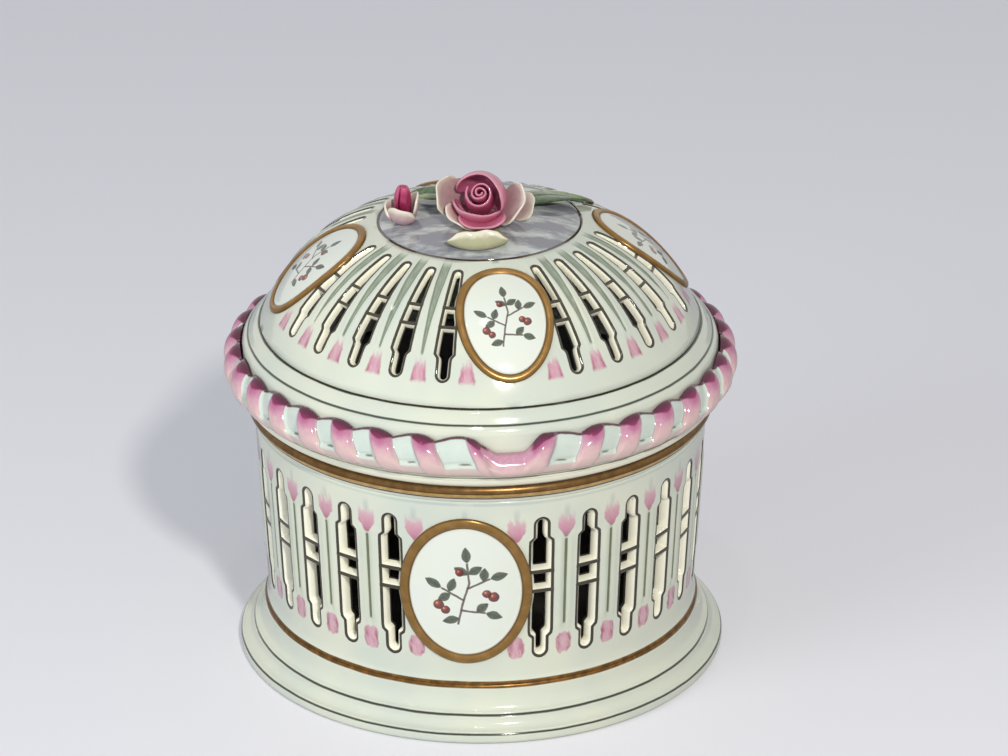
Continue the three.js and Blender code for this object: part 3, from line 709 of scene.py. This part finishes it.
# Crown. The top of the dome is left solid, to carry the flower. Its glaze is thick, with grey streaks as a
# painted reflection.
crown_length = dome_walk[-1]
crown_out = [crown_start + (crown_length - crown_start) * i / 26 for i in range(26)]
crown_outside, crown_inside = (
    [laid(dome_skin, 0, out, depth) for out in crown_out] for depth in (0, lid_slots["thickness"])
)
crown_profile = [Vector((-p.y, p.z)) for p in crown_outside]
crown_profile += [Vector((0.0, dome_top)), Vector((0.0, dome_top - lid_slots["thickness"]))]
crown_profile += [Vector((-p.y, p.z)) for p in crown_inside[::-1]]


def crown_paint(place):
    radius, height = ring_coordinates(place)
    ring = (radius + place.clouds(12, 3) * 0.3).rise(28.95, 29.15)
    swirl = place.add("ShaderNodeVectorMath", {"operation": "MULTIPLY"}, {0: place, 1: (0.45, 1.3, 1.0)})
    # grey and pale streaks painted on the glossy crown as a reflection of the room
    painted_reflection = (swirl.clouds(8, 5, 0.62) + 0.5).rise(0.44, 0.62)
    colour = painted_reflection.blend(shade(138, 138, 146), shade(200, 204, 200))
    return ring.blend(colour, shade(78, 62, 46)), 0


crown = turned(crown_profile[::-1])
crown = fired("crown", crown, "lid", "porcelain", glazed("crown_glaze", crown_paint, 0.07, 0.12))
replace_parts(crown, "lid_dome")


# Medallions. Two oval plaques on the wall and four on the dome stand slightly proud: a rounded gilt frame about
# a smooth pale field, on which a small sprig of leaves and berries is painted.
FIELD = shade(230, 234, 220)


def plaque(skin, wide, tall, middle, turn, frame_width, gap):
    """An oval plaque laid on a skin. Its map holds millimetres from its centre, "inset" those from its edge."""
    bm = bmesh.new()
    laid_out = bm.loops.layers.uv.new("laid_out")
    inset_at = bm.verts.layers.float.new("inset")
    flat = bmesh.ops.create_circle(bm, cap_ends=False, radius=1, segments=112)["verts"]
    frame_profile = [(0, gap), (0, -0.35), (0.13, -0.72), (0.35, -1.0), (0.65, -0.98)]
    frame_profile += [(0.88, -0.68), (1, -0.42), (1.06, -0.38)]
    field_scales = (0.93, 0.85, 0.74, 0.6, 0.45, 0.3, 0.15, 0.02)
    rings = [(frame_width * i, 1, d) for i, d in frame_profile]
    rings += [(frame_width * 1.06, s, -0.38 - 0.32 * (1 - s * s)) for s in field_scales]
    places = {v: (v.co.xy.normalized(), rings[0]) for v in flat}
    loop = bm.edges[:]
    for ring in rings[1:]:
        loop, fresh = extruded(bm, loop)
        for v in fresh:
            places[v] = (v.co.xy.normalized(), ring)
    bmesh.ops.contextual_create(bm, geom=loop)
    for v, (way, (inset, scale, depth)) in places.items():
        square = Vector((way.x / wide, way.y / tall)).normalized()
        v[inset_at] = inset + (1 - scale) * 10
        v.co = (*((Vector((way.x * wide, way.y * tall)) - square * inset) * scale), depth)
    for face in bm.faces:
        for corner in face.loops:
            corner[laid_out].uv = corner.vert.co.xy
    for v in bm.verts:
        across, up, depth = v.co
        v.co = laid(skin, math.degrees(across / skin(middle + up).x) + turn, middle + up, depth)
    bmesh.ops.recalc_face_normals(bm, faces=bm.faces)
    centre = laid(skin, turn, middle, 0)
    if sum(f.normal.dot(centre.normalized()) * f.calc_area() for f in bm.faces) < 0:
        bmesh.ops.reverse_faces(bm, faces=bm.faces)
    return bm


def sprig_paint(frame_width, scale, variant):
    """Paint for a plaque: a gilt frame, and a sprig of leaves and berries on the field."""
    leaf_green, leaf_dark, stem_brown = shade(86, 98, 76), shade(48, 56, 46), shade(86, 66, 54)
    russet, russet_dark = shade(150, 58, 44), shade(92, 36, 34)
    stems = [((-1.6, -8.2), (-0.6, -3.0)), ((-0.6, -3.0), (0.9, 2.2)), ((0.9, 2.2), (0.4, 7.2))]
    stems += [((-0.3, -2.0), (-5.2, 0.9)), ((0.6, 1.0), (5.4, 3.4)), ((-0.9, -4.6), (4.4, -5.2))]
    leaves = [((-5.2, 0.9), 150, 4.4), ((-3.6, 0.0), 70, 3.8), ((-3.2, -0.4), 215, 3.6), ((0.4, 7.2), 95, 4.2)]
    leaves += [((0.7, 4.6), 30, 3.6), ((0.6, 4.4), 150, 3.6), ((5.4, 3.4), 15, 4.2), ((4.0, 2.7), 85, 3.6)]
    leaves += [((4.4, -5.2), -20, 4.0), ((2.4, -4.9), 40, 3.4), ((-1.3, -6.6), 195, 4.0)]
    berries = [(-5.9, -3.4, 1.25), (-4.4, -4.6, 1.1), (6.2, -1.2, 1.3), (4.7, -0.4, 1.05), (-1.2, 4.9, 1.0)]
    mirror = -1 if variant else 1

    def paint(place):
        x_map, y_map = place.flat_map()
        drift = place.clouds(2, 2)
        x, y = x_map * (mirror / scale) + drift * 0.3, y_map / scale + place.clouds(1.6, 2) * 0.3
        colour = (place.clouds(12, 3) + 0.5).rise(0.2, 0.8).blend(FIELD, shade(230, 234, 226))
        streak = (place.clouds(0.6, 3) + 0.5).rise(0.3, 0.7)
        for (ax, ay), (bx, by) in stems:
            length = math.hypot(bx - ax, by - ay)
            ux, uy = (bx - ax) / length, (by - ay) / length
            along = (x - ax) * ux + (y - ay) * uy
            across = (x - ax) * -uy + (y - ay) * ux
            line = abs(across).rise(0.34, 0.16) * along.rise(-0.2, 0.1) * along.rise(length + 0.2, length - 0.1)
            colour = (line * 0.9).blend(colour, stem_brown)
        for (ax, ay), turn, length in leaves:
            ux, uy = math.cos(math.radians(turn)), math.sin(math.radians(turn))
            along = ((x - ax) * ux + (y - ay) * uy) / length
            across = abs((x - ax) * -uy + (y - ay) * ux)
            inside = along.least(1.0).most(0.0)
            blade = (across - inside * (1 - inside) * (5.2 - inside * 1.6)).rise(0.05, -0.2)
            blade = blade * along.rise(0.0, 0.06) * along.rise(1.0, 0.94)
            green = (streak * 0.6 + across.rise(0.7, 0.0) * 0.5).blend(leaf_green, leaf_dark)
            colour = (blade * 0.94).blend(colour, green)
        for bx, by, size in berries:
            # how far a spot is from the berry's middle, and from its highlight up to the left
            off, light = (
                ((x - bx + aside) * (x - bx + aside) + (y - by - aside) * (y - by - aside)) ** 0.5 / size
                for aside in (0, size * 0.3)
            )
            fruit = light.rise(0.25, 0.9).blend(russet, russet_dark)
            fruit = light.rise(0.28, 0.12).blend(fruit, shade(226, 150, 110))
            colour = (off.rise(1.04, 0.9) * 0.95).blend(colour, fruit)
        inset = place.attribute("inset") + place.clouds(5, 3) * 0.12
        gilt = inset.rise(frame_width + 0.12, frame_width - 0.1)
        worn = (place.clouds(4, 3) + 0.5).rise(0.3, 0.8)
        edges = inset.band(frame_width - 0.1, 0.5, 0.25).most(inset.rise(0.55, 0.1) * 0.8) * 0.75
        colour = gilt.blend(colour, worn.blend(shade(146, 112, 62), shade(170, 132, 78)))
        return edges.blend(colour, shade(98, 72, 38)), gilt

    return paint


for label, skin, slots, count, turn, frame_width, scale in (
    ("jar", wall_skin, wall_slots, 2, 0, 3.0, 1.3),
    ("lid", dome_skin, lid_slots, 4, lid_turn, 2.4, 0.98),
):
    for number in range(count):
        wide, tall, middle = slots["medallion"]
        oval = plaque(skin, wide, tall, middle, 360 / count * number + turn, frame_width, 1.0)
        finish = bpy.data.materials.get(f"{label}_medallion_{number % 2}") or glazed(
            f"{label}_medallion_{number % 2}", sprig_paint(frame_width, scale, number % 2), 0.08
        )
        piece = fired(f"{label}_medallion_{number + 1}", oval, label, "porcelain", finish)
        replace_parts(piece, "jar_wall" if label == "jar" else "lid_dome")


# Ribbon border. Two mirrored lengths of twisted ribbon are modelled round the lid's edge and meet at the front
# in a dip. Each turn shows an arched, magenta-edged fold, a pale pink twist that runs down towards the front,
# and a white hollow behind it that ends in a nick above the bottom roll, painted dark as painted shade.
ribbon_units = 36
ribbon_back = 69.9
ribbon_depth = 5.15
ribbon_bottom = 84.9
ribbon_top = 95.3
ribbon_arch = 1.9
ribbon_lean = 0.21
ribbon_walk = 13.0
nick_place = 5.7
ribbon_turn = lid_turn - 1.8


def soft_step(value, low, high):
    share = min(1.0, max(0.0, (value - low) / (high - low)))
    return share * share * (3 - 2 * share)


def ribbon_fold(unit, side):
    """The turn's number, how far through it the ribbon is, and how high it arches, at units from the joint."""
    if side > 0:
        unit += 0.3 * math.exp(-((unit - 0.5) / 0.5) ** 2)
    number, through = divmod(unit - 0.5, 1.0)
    arch = math.sin(math.pi * through ** 0.8)
    if side < 0 and number == 0:
        through = through ** 0.5
    if number < 0:
        through = 0.05
    return number, through, arch


def ribbon_joint(unit):
    return 1 - soft_step(min(unit, ribbon_units / 2 - unit), 0.2, 0.62)


def ribbon_point(unit, walk, side):
    """A point on the ribbon: units from the front joint, and millimetres up its front from the bottom."""
    half_units = ribbon_units / 2
    number, through, arch = ribbon_fold(unit, side)
    joint = ribbon_joint(unit)
    top = ribbon_top + ribbon_arch * arch * (1 - joint) - 3.3 * joint
    turn = math.radians(-86 + 172 * walk / ribbon_walk)
    twist = soft_step(through, 0.0, 0.09) * soft_step(through, 0.58, 0.48)
    twist = max(twist * (0.84 + 0.16 * math.sin(math.pi * min(1, through / 0.55))), joint * 0.95)
    hollow = (1 - twist) * soft_step(walk, nick_place - 0.1, nick_place + 0.3)
    hollow *= soft_step(ribbon_walk - walk, 0.3, 1.6)
    nick = (1 - twist) * math.exp(-((walk - nick_place) / 0.3) ** 2) * soft_step(through, 0.56, 0.66)
    roll = 0.95 - 0.05 * math.cos(2 * math.pi * through)
    reach = roll + (twist - 0.55) * 0.14 - 0.2 * hollow - 0.16 * nick
    lean = ribbon_lean * min(1, unit / 0.7, (half_units - unit) / 0.7)
    angle = side * math.radians(360 / ribbon_units) * (unit + lean * math.sin(turn))
    angle += math.radians(ribbon_turn)
    radius = ribbon_back + ribbon_depth * reach * math.cos(turn)
    height = (top + ribbon_bottom) / 2 + (top - ribbon_bottom) / 2 * math.sin(turn)
    return Vector((radius * math.sin(angle), -radius * math.cos(angle), height))


MAGENTA = shade(136, 30, 84)
MAGENTA_DARK = shade(80, 14, 48)
RIBBON_PINK = shade(200, 144, 166)
RIBBON_PALE = shade(222, 192, 184)


def ribbon_paint(place):
    unit, walk = place.flat_map()
    drift = place.clouds(2.5, 3)
    streak = (place.clouds(0.8, 3) + 0.5).rise(0.3, 0.75)
    through = unit.math("FRACT")
    joint = place.attribute("joint").rise(0.4, 0.75)
    apart = 1 - joint
    below = ribbon_walk - walk
    twist = (through.rise(0.0, 0.04) * (through + drift * 0.05).rise(0.56, 0.5)).most(joint)
    white = (place.clouds(3, 2) + 0.5).blend(shade(216, 226, 214), shade(204, 216, 206))
    pink = (below + drift * 3).rise(3.2, 7.5).blend(RIBBON_PINK, RIBBON_PALE)
    pink = (streak * 0.3).blend(pink, shade(228, 184, 198))
    colour = twist.blend(white, pink)
    swell = (1 - abs(through - 0.3) / 0.32).most(0.0)
    swell = swell * swell * (3 - swell * 2)
    edge = 1.3 + swell * 1.7 + drift * 0.6
    crescent = through.rise(0.66, 0.5).most((below - 1.6).rise(0.2, -0.2))
    crescent = (below - edge).rise(0.35, -0.35) * crescent * apart
    wash = (below - edge - 0.2).rise(2.4, 0.0) * through.rise(0.56, 0.46) * apart * (swell * 0.6 + 0.4)
    colour = (wash * 0.75).blend(colour, shade(176, 84, 132))
    colour = (crescent * 0.96).blend(colour, (below + drift).rise(3.0, 1.0).blend(MAGENTA, MAGENTA_DARK))
    lip = below.rise(1.6, 1.0) * joint
    colour = (lip * 0.5).blend(colour, shade(168, 120, 138))
    rim = (walk + drift).rise(nick_place - 0.3, nick_place - 1.0) * (1 - twist)
    colour = (rim * 0.8).blend(colour, RIBBON_PALE)
    # the nick is painted dark as painted shade in the notch
    nick = (walk + drift * 0.3).band(nick_place, 0.28, 0.12)
    nick = nick * through.rise(0.58, 0.7) * through.rise(0.86, 0.76)
    colour = (nick * apart * 0.8).blend(colour, shade(84, 78, 58))
    crease = (abs(through - 0.54).rise(0.03, 0.01) + through.rise(0.03, 0.01)).least(1.0) * apart
    colour = (crease * 0.5 * walk.rise(nick_place - 1.5, nick_place)).blend(colour, shade(150, 104, 128))
    # a dark band along the ribbon's bottom: partly a painted line, partly painted shade on the underside above
    # the jar's rim
    foot_line = walk.rise(2.5, 2.1)
    return (foot_line * 0.8).blend(colour, shade(136, 98, 94)), 0


ribbon_finish = glazed("ribbon_glaze", ribbon_paint, 0.1, 0.06, 0.1)
for label, side in (("left", -1), ("right", 1)):
    border = bmesh.new()
    laid_out = border.loops.layers.uv.new("laid_out")
    joint_at = border.verts.layers.float.new("joint")
    front_rows, back_rows = 40, 3
    bmesh.ops.create_grid(border, x_segments=432, y_segments=front_rows + back_rows, size=1, calc_uvs=False)
    half_units = ribbon_units / 2
    spots = {}
    for v in border.verts:
        row = (v.co.y + 1) / 2 * (front_rows + back_rows)
        unit = (v.co.x + 1) / 2 * half_units
        spots[v] = (unit, min(row / front_rows, 1) * ribbon_walk, max(0.0, row - front_rows) / back_rows)
    for face in border.faces:
        numbers = [ribbon_fold(spots[v][0], side)[0] for v in face.verts]
        for corner in face.loops:
            unit, walk, behind = spots[corner.vert]
            number, through, arch = ribbon_fold(unit, side)
            through = 0.05 if min(numbers) < 0 else 0.999 if number > min(numbers) else through
            corner[laid_out].uv = (min(numbers) + 1 + through, walk)
    for v, (unit, walk, behind) in spots.items():
        v[joint_at] = ribbon_joint(unit)
        v.co = ribbon_point(unit, walk, side).lerp(ribbon_point(unit, 0.0, side), behind)
    bmesh.ops.remove_doubles(border, verts=border.verts, dist=0.002)
    ends = [e for e in border.edges if e.is_boundary]
    bmesh.ops.holes_fill(border, edges=ends)
    for edge in ends:
        edge.smooth = False
    bmesh.ops.recalc_face_normals(border, faces=border.faces)
    piece = fired(f"ribbon_{label}", border, "lid", "ribbon", ribbon_finish)
    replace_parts(piece, f"rope_border_{label}")


# Rose. Every petal is a pinched-out sheet of porcelain paste, curled and stuck round a rolled heart on a small
# lump, which is luted to the crown. The inner petals are painted pink, the outer ones pale, with a cream edge.
rose_place = Matrix.Translation((1.0, -3.6, 139.3)) @ Matrix.Rotation(math.radians(50), 4, "X")
petal_thickness = 1.1


def petal(root, belly, rim, turn, spread, coil=0.0, droop=0.16, curl=0.0, ruffle=0.0):
    """A cupped petal round an upright axis: its root, belly and rim as (radius, height) and its direction."""

    def at(u, v):
        edge = v * (1 - droop * u * u)
        w = 1 - edge
        radius = w * w * root[0] + 2 * w * edge * belly[0] + edge * edge * rim[0] + curl * edge ** 4
        height = w * w * root[1] + 2 * w * edge * belly[1] + edge * edge * rim[1] - curl * 0.5 * edge ** 6
        height += ruffle * edge ** 4 * math.sin(5.1 * u + turn)
        radius += ruffle * 0.8 * edge ** 5 * math.cos(4.3 * u + turn * 0.7)
        wide = 0.62 + 0.38 * math.sin(math.pi * min(1, 0.1 + v * 0.8))
        angle = math.radians(turn + spread * u * wide)
        shifted = radius + coil * u
        return Vector((shifted * math.cos(angle), shifted * math.sin(angle), height))

    return at


def pinched(name, at, place, grid, slot, finish, node, thickness=petal_thickness, edge_share=0.55):
    """A sheet of paste at(u, v), thinner towards its rim, set in its place. Its map holds u and v."""
    bm = bmesh.new()
    laid_out = bm.loops.layers.uv.new("laid_out")
    bmesh.ops.create_grid(bm, x_segments=grid[0], y_segments=grid[1], size=1, calc_uvs=False)
    spots = {v: (v.co.x, (v.co.y + 1) / 2) for v in bm.verts}
    for face in bm.faces:
        for corner in face.loops:
            corner[laid_out].uv = spots[corner.vert]
    for v, (over, up) in spots.items():
        v.co = place @ at(over, up)
    bm.verts.index_update()
    thin = [1 - (1 - edge_share) * max(up ** 3, abs(over) ** 5) for over, up in spots.values()]
    piece = fired(name, bm, "lid", slot, finish)
    group = piece.vertex_groups.new(name="thick")
    for index, share in enumerate(thin):
        group.add([index], share, "REPLACE")
    sheet = piece.modifiers.new("sheet", "SOLIDIFY")
    sheet.thickness = thickness * 0.001
    sheet.offset = 0
    sheet.vertex_group = "thick"
    smooth = piece.modifiers.new("smooth", "SUBSURF")
    smooth.levels = smooth.render_levels = 2
    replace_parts(piece, node)


def petal_paint(low, high, edge_tint, edge_from=0.86):
    """Paint for a petal, from its root's colour to its rim's, with a tint along the very edge."""

    def paint(place):
        over, up = place.flat_map()
        drift = place.clouds(1.6, 3)
        veins = (over * 14 + drift * 4).math("SINE") * 0.5 + 0.5
        colour = (up + drift * 0.35).rise(0.15, 0.95).blend(low, high)
        colour = (veins * 0.14 * up).blend(colour, low)
        rim = (up + abs(over) ** 6 * 0.2 + drift * 0.08).rise(edge_from, 0.97)
        return (rim * 0.85).blend(colour, edge_tint), 0

    return paint


ROSE_DEEP = shade(150, 52, 88)
ROSE_LIGHT = shade(216, 134, 158)
BLUSH = shade(206, 184, 178)
CREAM = shade(238, 230, 210)

heart_finish = glazed("rose_heart_glaze", petal_paint(ROSE_DEEP, shade(190, 92, 124), ROSE_LIGHT, 0.9), 0.1)
pink_paint = petal_paint(shade(176, 88, 122), shade(208, 122, 148), shade(220, 150, 168), 0.88)
pink_finish = glazed("rose_pink_glaze", pink_paint, 0.1)
blush_finish = glazed("petal_blush_glaze", petal_paint(shade(172, 128, 138), BLUSH, CREAM, 0.74), 0.12)
# the big front petal's outside: its own greenish cream darkened to olive as painted shade, under a cream rim
cream_and_shade_paint = petal_paint(shade(150, 148, 112), shade(178, 176, 140), CREAM, 0.87)
cream_and_shade_finish = glazed("petal_cream_and_shade_glaze", cream_and_shade_paint, 0.12)


def rolled_heart(u, v):
    """The heart: one sheet wound about the axis, its outer turns opening and standing lower."""
    share = (u + 1) / 2
    turn = share * 2.6 * 2 * math.pi
    drawn = (0.8 + 1.6 * share + 2.4 * share * share) * (1 - 0.12 * v * v)
    drawn *= 1 + 0.04 * math.sin(2.3 * turn) * v
    top = 9.2 - 0.6 * (1 - share) - 2.6 * share * share + 0.3 * math.sin(1.7 * turn + 1)
    return Vector((drawn * math.cos(turn), -drawn * math.sin(turn), 5 + top * v))


pinched("rose_heart", rolled_heart, rose_place, (84, 6), "rose_heart", heart_finish, "rose_center", 0.85, 0.8)
for number, petal_at in enumerate((
    petal((2.4, 1.2), (11, 5.5), (4.9, 13.2), 62, 98, 0.5, ruffle=0.25),
    petal((2.6, 1.2), (9, 5.4), (7, 13.2), -104, 78, -0.4, ruffle=0.25),
    petal((2.8, 1.6), (8.6, 8), (11, 12.8), -86, 54, 0.4, ruffle=0.3),
)):
    name = f"rose_inner_petal_{number + 1}"
    pinched(name, petal_at, rose_place, (20, 12), "rose_pink", pink_finish, name)
for number, petal_at in enumerate((
    petal((3.6, 2), (9.4, 6), (10.4, 11.4), -132, 40, 0, curl=0.8, ruffle=0.4),
    petal((3.6, 0.8), (12, 3), (11.8, 11.2), 172, 36, 0.5, curl=0.8, ruffle=0.5),
    petal((3.6, 1.5), (11.5, 4.4), (11.8, 10.4), -10, 42, 0.5, curl=0.8, ruffle=0.5),
    petal((4, 3.4), (25.0, 15.0), (12.4, 16.6), -89, 33, -0.4, droop=0.08, ruffle=0.3),
    petal((4, 0.4), (12, 0.6), (15, 6), -4, 22, 0, curl=0.6, ruffle=0.4),
)):
    name = f"rose_outer_petal_{number + 1}"
    finish = cream_and_shade_finish if number == 3 else blush_finish
    pinched(name, petal_at, rose_place, (18, 12), "petal_blush", finish, name)
lump_profile = [(0.0, 1.4), (2.2, 1.4), (2.9, 0.6), (3.9, -2.5), (4.9, -7.0), (5.4, -10.8), (0.0, -10.8)]
lump_bottom = dome_top - 0.6
rose_lump = turned(lump_profile, 40)
bmesh.ops.transform(rose_lump, matrix=rose_place, verts=rose_lump.verts)
bmesh.ops.bisect_plane(
    rose_lump, geom=everything(rose_lump), dist=0.001, plane_co=(0, 0, lump_bottom), plane_no=(0, 0, -1),
    clear_outer=True,
)
bmesh.ops.holes_fill(rose_lump, edges=[e for e in rose_lump.edges if e.is_boundary])


def lump_paint(place):
    pale = (place.clouds(3, 3) + 0.5).rise(0.2, 0.8).blend(CREAM, shade(214, 206, 196))
    return place.part("Z").rise(137.6, 138.6).blend(pale, ROSE_DEEP), 0


lump_finish = glazed("rose_lump_glaze", lump_paint, 0.14)
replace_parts(fired("rose_lump", rose_lump, "lid", "petal_blush", lump_finish), "rose_base")


# Bud. A smaller flower to the left: a magenta bud rolled from one sheet, in a cup of three pale petals.
bud_place = Matrix.Translation((-21.5, -6.0, dome_skin(crown_start + 7.0).y))
bud_radius = 3.1
bud_height = 11.4


def rolled_bud(u, v):
    share = (u + 1) / 2
    turn = -0.9 + share * 1.8 * 2 * math.pi
    belly = 0.5 + 0.5 * math.sin(math.pi * min(1.0, 0.16 + 0.5 * v)) - 0.42 * v ** 5
    drawn = (0.6 + (bud_radius - 1.0) * share) * belly
    height = bud_height * (0.97 - 0.05 * (1 - share)) * v
    return Vector((drawn * math.cos(turn), drawn * math.sin(turn), height))


bud_paint = petal_paint(shade(112, 22, 58), shade(172, 44, 92), shade(196, 84, 122), 0.8)
bud_finish = glazed("bud_glaze", bud_paint, 0.09)
pinched("bud", rolled_bud, bud_place, (48, 12), "bud_magenta", bud_finish, "bud_core", 0.95, 0.7)
for number, petal_at in enumerate((
    petal((1.6, 0.2), (5, 0.8), (4.8, 6), -110, 70, 0.5, curl=0.3, ruffle=0.15),
    petal((1.6, 0.2), (5, 0.8), (4.8, 6), 150, 66, 0.5, curl=0.3, ruffle=0.15),
    petal((1.6, 0.2), (4.6, 1.4), (4.2, 8.6), 28, 60, 0.5, ruffle=0.2),
)):
    name = f"bud_petal_{number + 1}"
    pinched(name, petal_at, bud_place, (16, 10), "petal_blush", blush_finish, name)


# Leaves. Two leaves of the same paste are pressed down on the crown beside the flowers, with veins tooled in,
# and painted in two greens.
def crown_height(radius):
    """Height of the dome's outside at a distance from the axis."""
    low, high = 0.0, dome_walk[-1] - 0.01
    for step in range(24):
        middle = (low + high) / 2
        low, high = (middle, high) if dome_skin(middle).x > radius else (low, middle)
    return dome_skin(low).y


def leaf(root, tip, width, lift, fold):
    start, run = Vector(root), Vector(tip) - Vector(root)
    sideways = Vector((-run.y, run.x)).normalized()

    def at(u, v):
        half = width / 2 * (0.08 + 0.92 * math.sin(math.pi * min(1, max(0, v)) ** 0.85) ** 0.9)
        half *= 1 + 0.035 * math.sin(34 * v) * abs(u)
        flat = start + run * v + sideways * u * half
        side_vein = max(0, math.cos(2 * math.pi * (v * 7 + abs(u) * 1.6))) ** 6
        vein = math.exp(-(u / 0.09) ** 2) * 0.35 + 0.16 * side_vein * abs(u)
        raised = lift * math.sin(math.pi * v * 0.9) + fold * abs(u) - vein * min(1, 6 * (1 - v))
        raised += 0.35 * math.sin(5 * v + 2 * u)
        return Vector((flat.x, flat.y, crown_height(flat.length) + 0.85 + raised))

    return at


LEAF = shade(88, 118, 70)
LEAF_DARK = shade(44, 70, 38)
LEAF_LIGHT = shade(150, 170, 108)


def leaf_paint(place):
    over, up = place.flat_map()
    drift = place.clouds(2.2, 4)
    across = abs(over)
    ribs = (up * 7 + across * 1.6).math("FRACT") - 0.5 + drift * 0.15
    ribs = abs(ribs).rise(0.42, 0.5) * across.rise(0.05, 0.2)
    colour = (drift * 1.4 + 0.55).rise(0.25, 0.85).blend(LEAF_DARK, LEAF)
    colour = ((over + drift * 1.2).rise(0.1, 0.9) * 0.7).blend(colour, LEAF_LIGHT)
    colour = (ribs * 0.5).blend(colour, LEAF_DARK)
    colour = (across.rise(0.08, 0.03) * 0.6).blend(colour, LEAF_DARK)
    tip = (up + drift * 0.3).rise(0.86, 1.0)
    return (tip * 0.6).blend(colour, shade(132, 92, 66)), 0


leaf_finish = glazed("leaf_glaze", leaf_paint, 0.12, 0.08)
for name, blade in (
    ("long_leaf", leaf((7, 1), (32, 19), 9.6, 1.0, 0.6)),
    ("short_leaf", leaf((-7, 3), (-22, 11), 8.0, 1.2, 0.8)),
):
    pinched(name + "_blade", blade, Matrix(), (24, 40), "leaf_green", leaf_finish, name, edge_share=0.6)


# Table, room and lamps: a plain pale table top and room, a small round lamp at the right front, a broad fill
# at the left and a weak spot above.
def plain(name, colour, shown):
    """A pale surface that the camera sees a little brighter than it lights the object."""
    material = bpy.data.materials.new(name)
    material.use_nodes = True
    surface = material.node_tree.nodes["Principled BSDF"]
    surface.inputs["Base Color"].default_value = colour
    surface.inputs["Roughness"].default_value = 0.8
    surface.inputs["Emission Color"].default_value = colour
    seen = Wire(material.node_tree).add("ShaderNodeLightPath") * shown
    material.node_tree.links.new(seen.socket, surface.inputs["Emission Strength"])
    return material


floor_mesh = bmesh.new()
bmesh.ops.create_grid(floor_mesh, x_segments=2, y_segments=2, size=3.0)
mesh = bpy.data.meshes.new("table_top")
floor_mesh.to_mesh(mesh)
floor_mesh.free()
table_top = bpy.data.objects.new("table_top", mesh)
mesh.materials.append(plain("table_top", shade(222, 221, 226), 0.22))
bpy.context.scene.collection.objects.link(table_top)

world = bpy.data.worlds.new("room")
bpy.context.scene.world = world
world.use_nodes = True
room = Wire(world.node_tree)
path = room.add("ShaderNodeLightPath")
seen = path.most(room.add("ShaderNodeLightPath", output=3)).most(room.add("ShaderNodeLightPath", output=6))
background = world.node_tree.nodes["Background"]
wall_colour = seen.blend(shade(150, 154, 160), shade(232, 229, 226))
world.node_tree.links.new(wall_colour.socket, background.inputs["Color"])
background.inputs["Strength"].default_value = 1.0


def lamp(name, place, aim, size, power, tint, mirrored=True):
    data = bpy.data.lights.new(name, "AREA")
    data.shape = "DISK"
    data.size = size
    data.energy = power
    data.color = tint
    light = bpy.data.objects.new(name, data)
    light.location = place
    light.rotation_euler = (Vector(aim) - Vector(place)).to_track_quat("-Z", "Y").to_euler()
    light.visible_glossy = mirrored
    bpy.context.scene.collection.objects.link(light)


lamp("key", (0.3, -0.95, 0.85), (0, 0, 0.08), 0.1, 8.2, (1.0, 0.97, 0.9))
lamp("fill", (-0.85, -0.75, 0.5), (0, 0, 0.08), 0.7, 5.4, (0.88, 0.95, 1.0), False)
lamp("ceiling_spot", (0.0, -0.35, 1.25), (0, 0, 0.1), 0.04, 0.4, (1.0, 0.95, 0.85))

eye = bpy.data.cameras.new("eye")
eye.lens = 180.7
eye.sensor_width = 36
eye.shift_x = 0.0235
eye.clip_start = 0.05
eye.clip_end = 20
camera = bpy.data.objects.new("eye", eye)
camera.location = (0.09426, -1.34798, 0.6982)
look = (Vector((0, 0, 0.0832)) - camera.location).to_track_quat("-Z", "Y").to_matrix().to_4x4()
camera.rotation_euler = (look @ Matrix.Rotation(math.radians(-0.26), 4, "Z")).to_euler()
bpy.context.scene.collection.objects.link(camera)
bpy.context.scene.camera = camera
bpy.context.scene.view_settings.view_transform = "Standard"
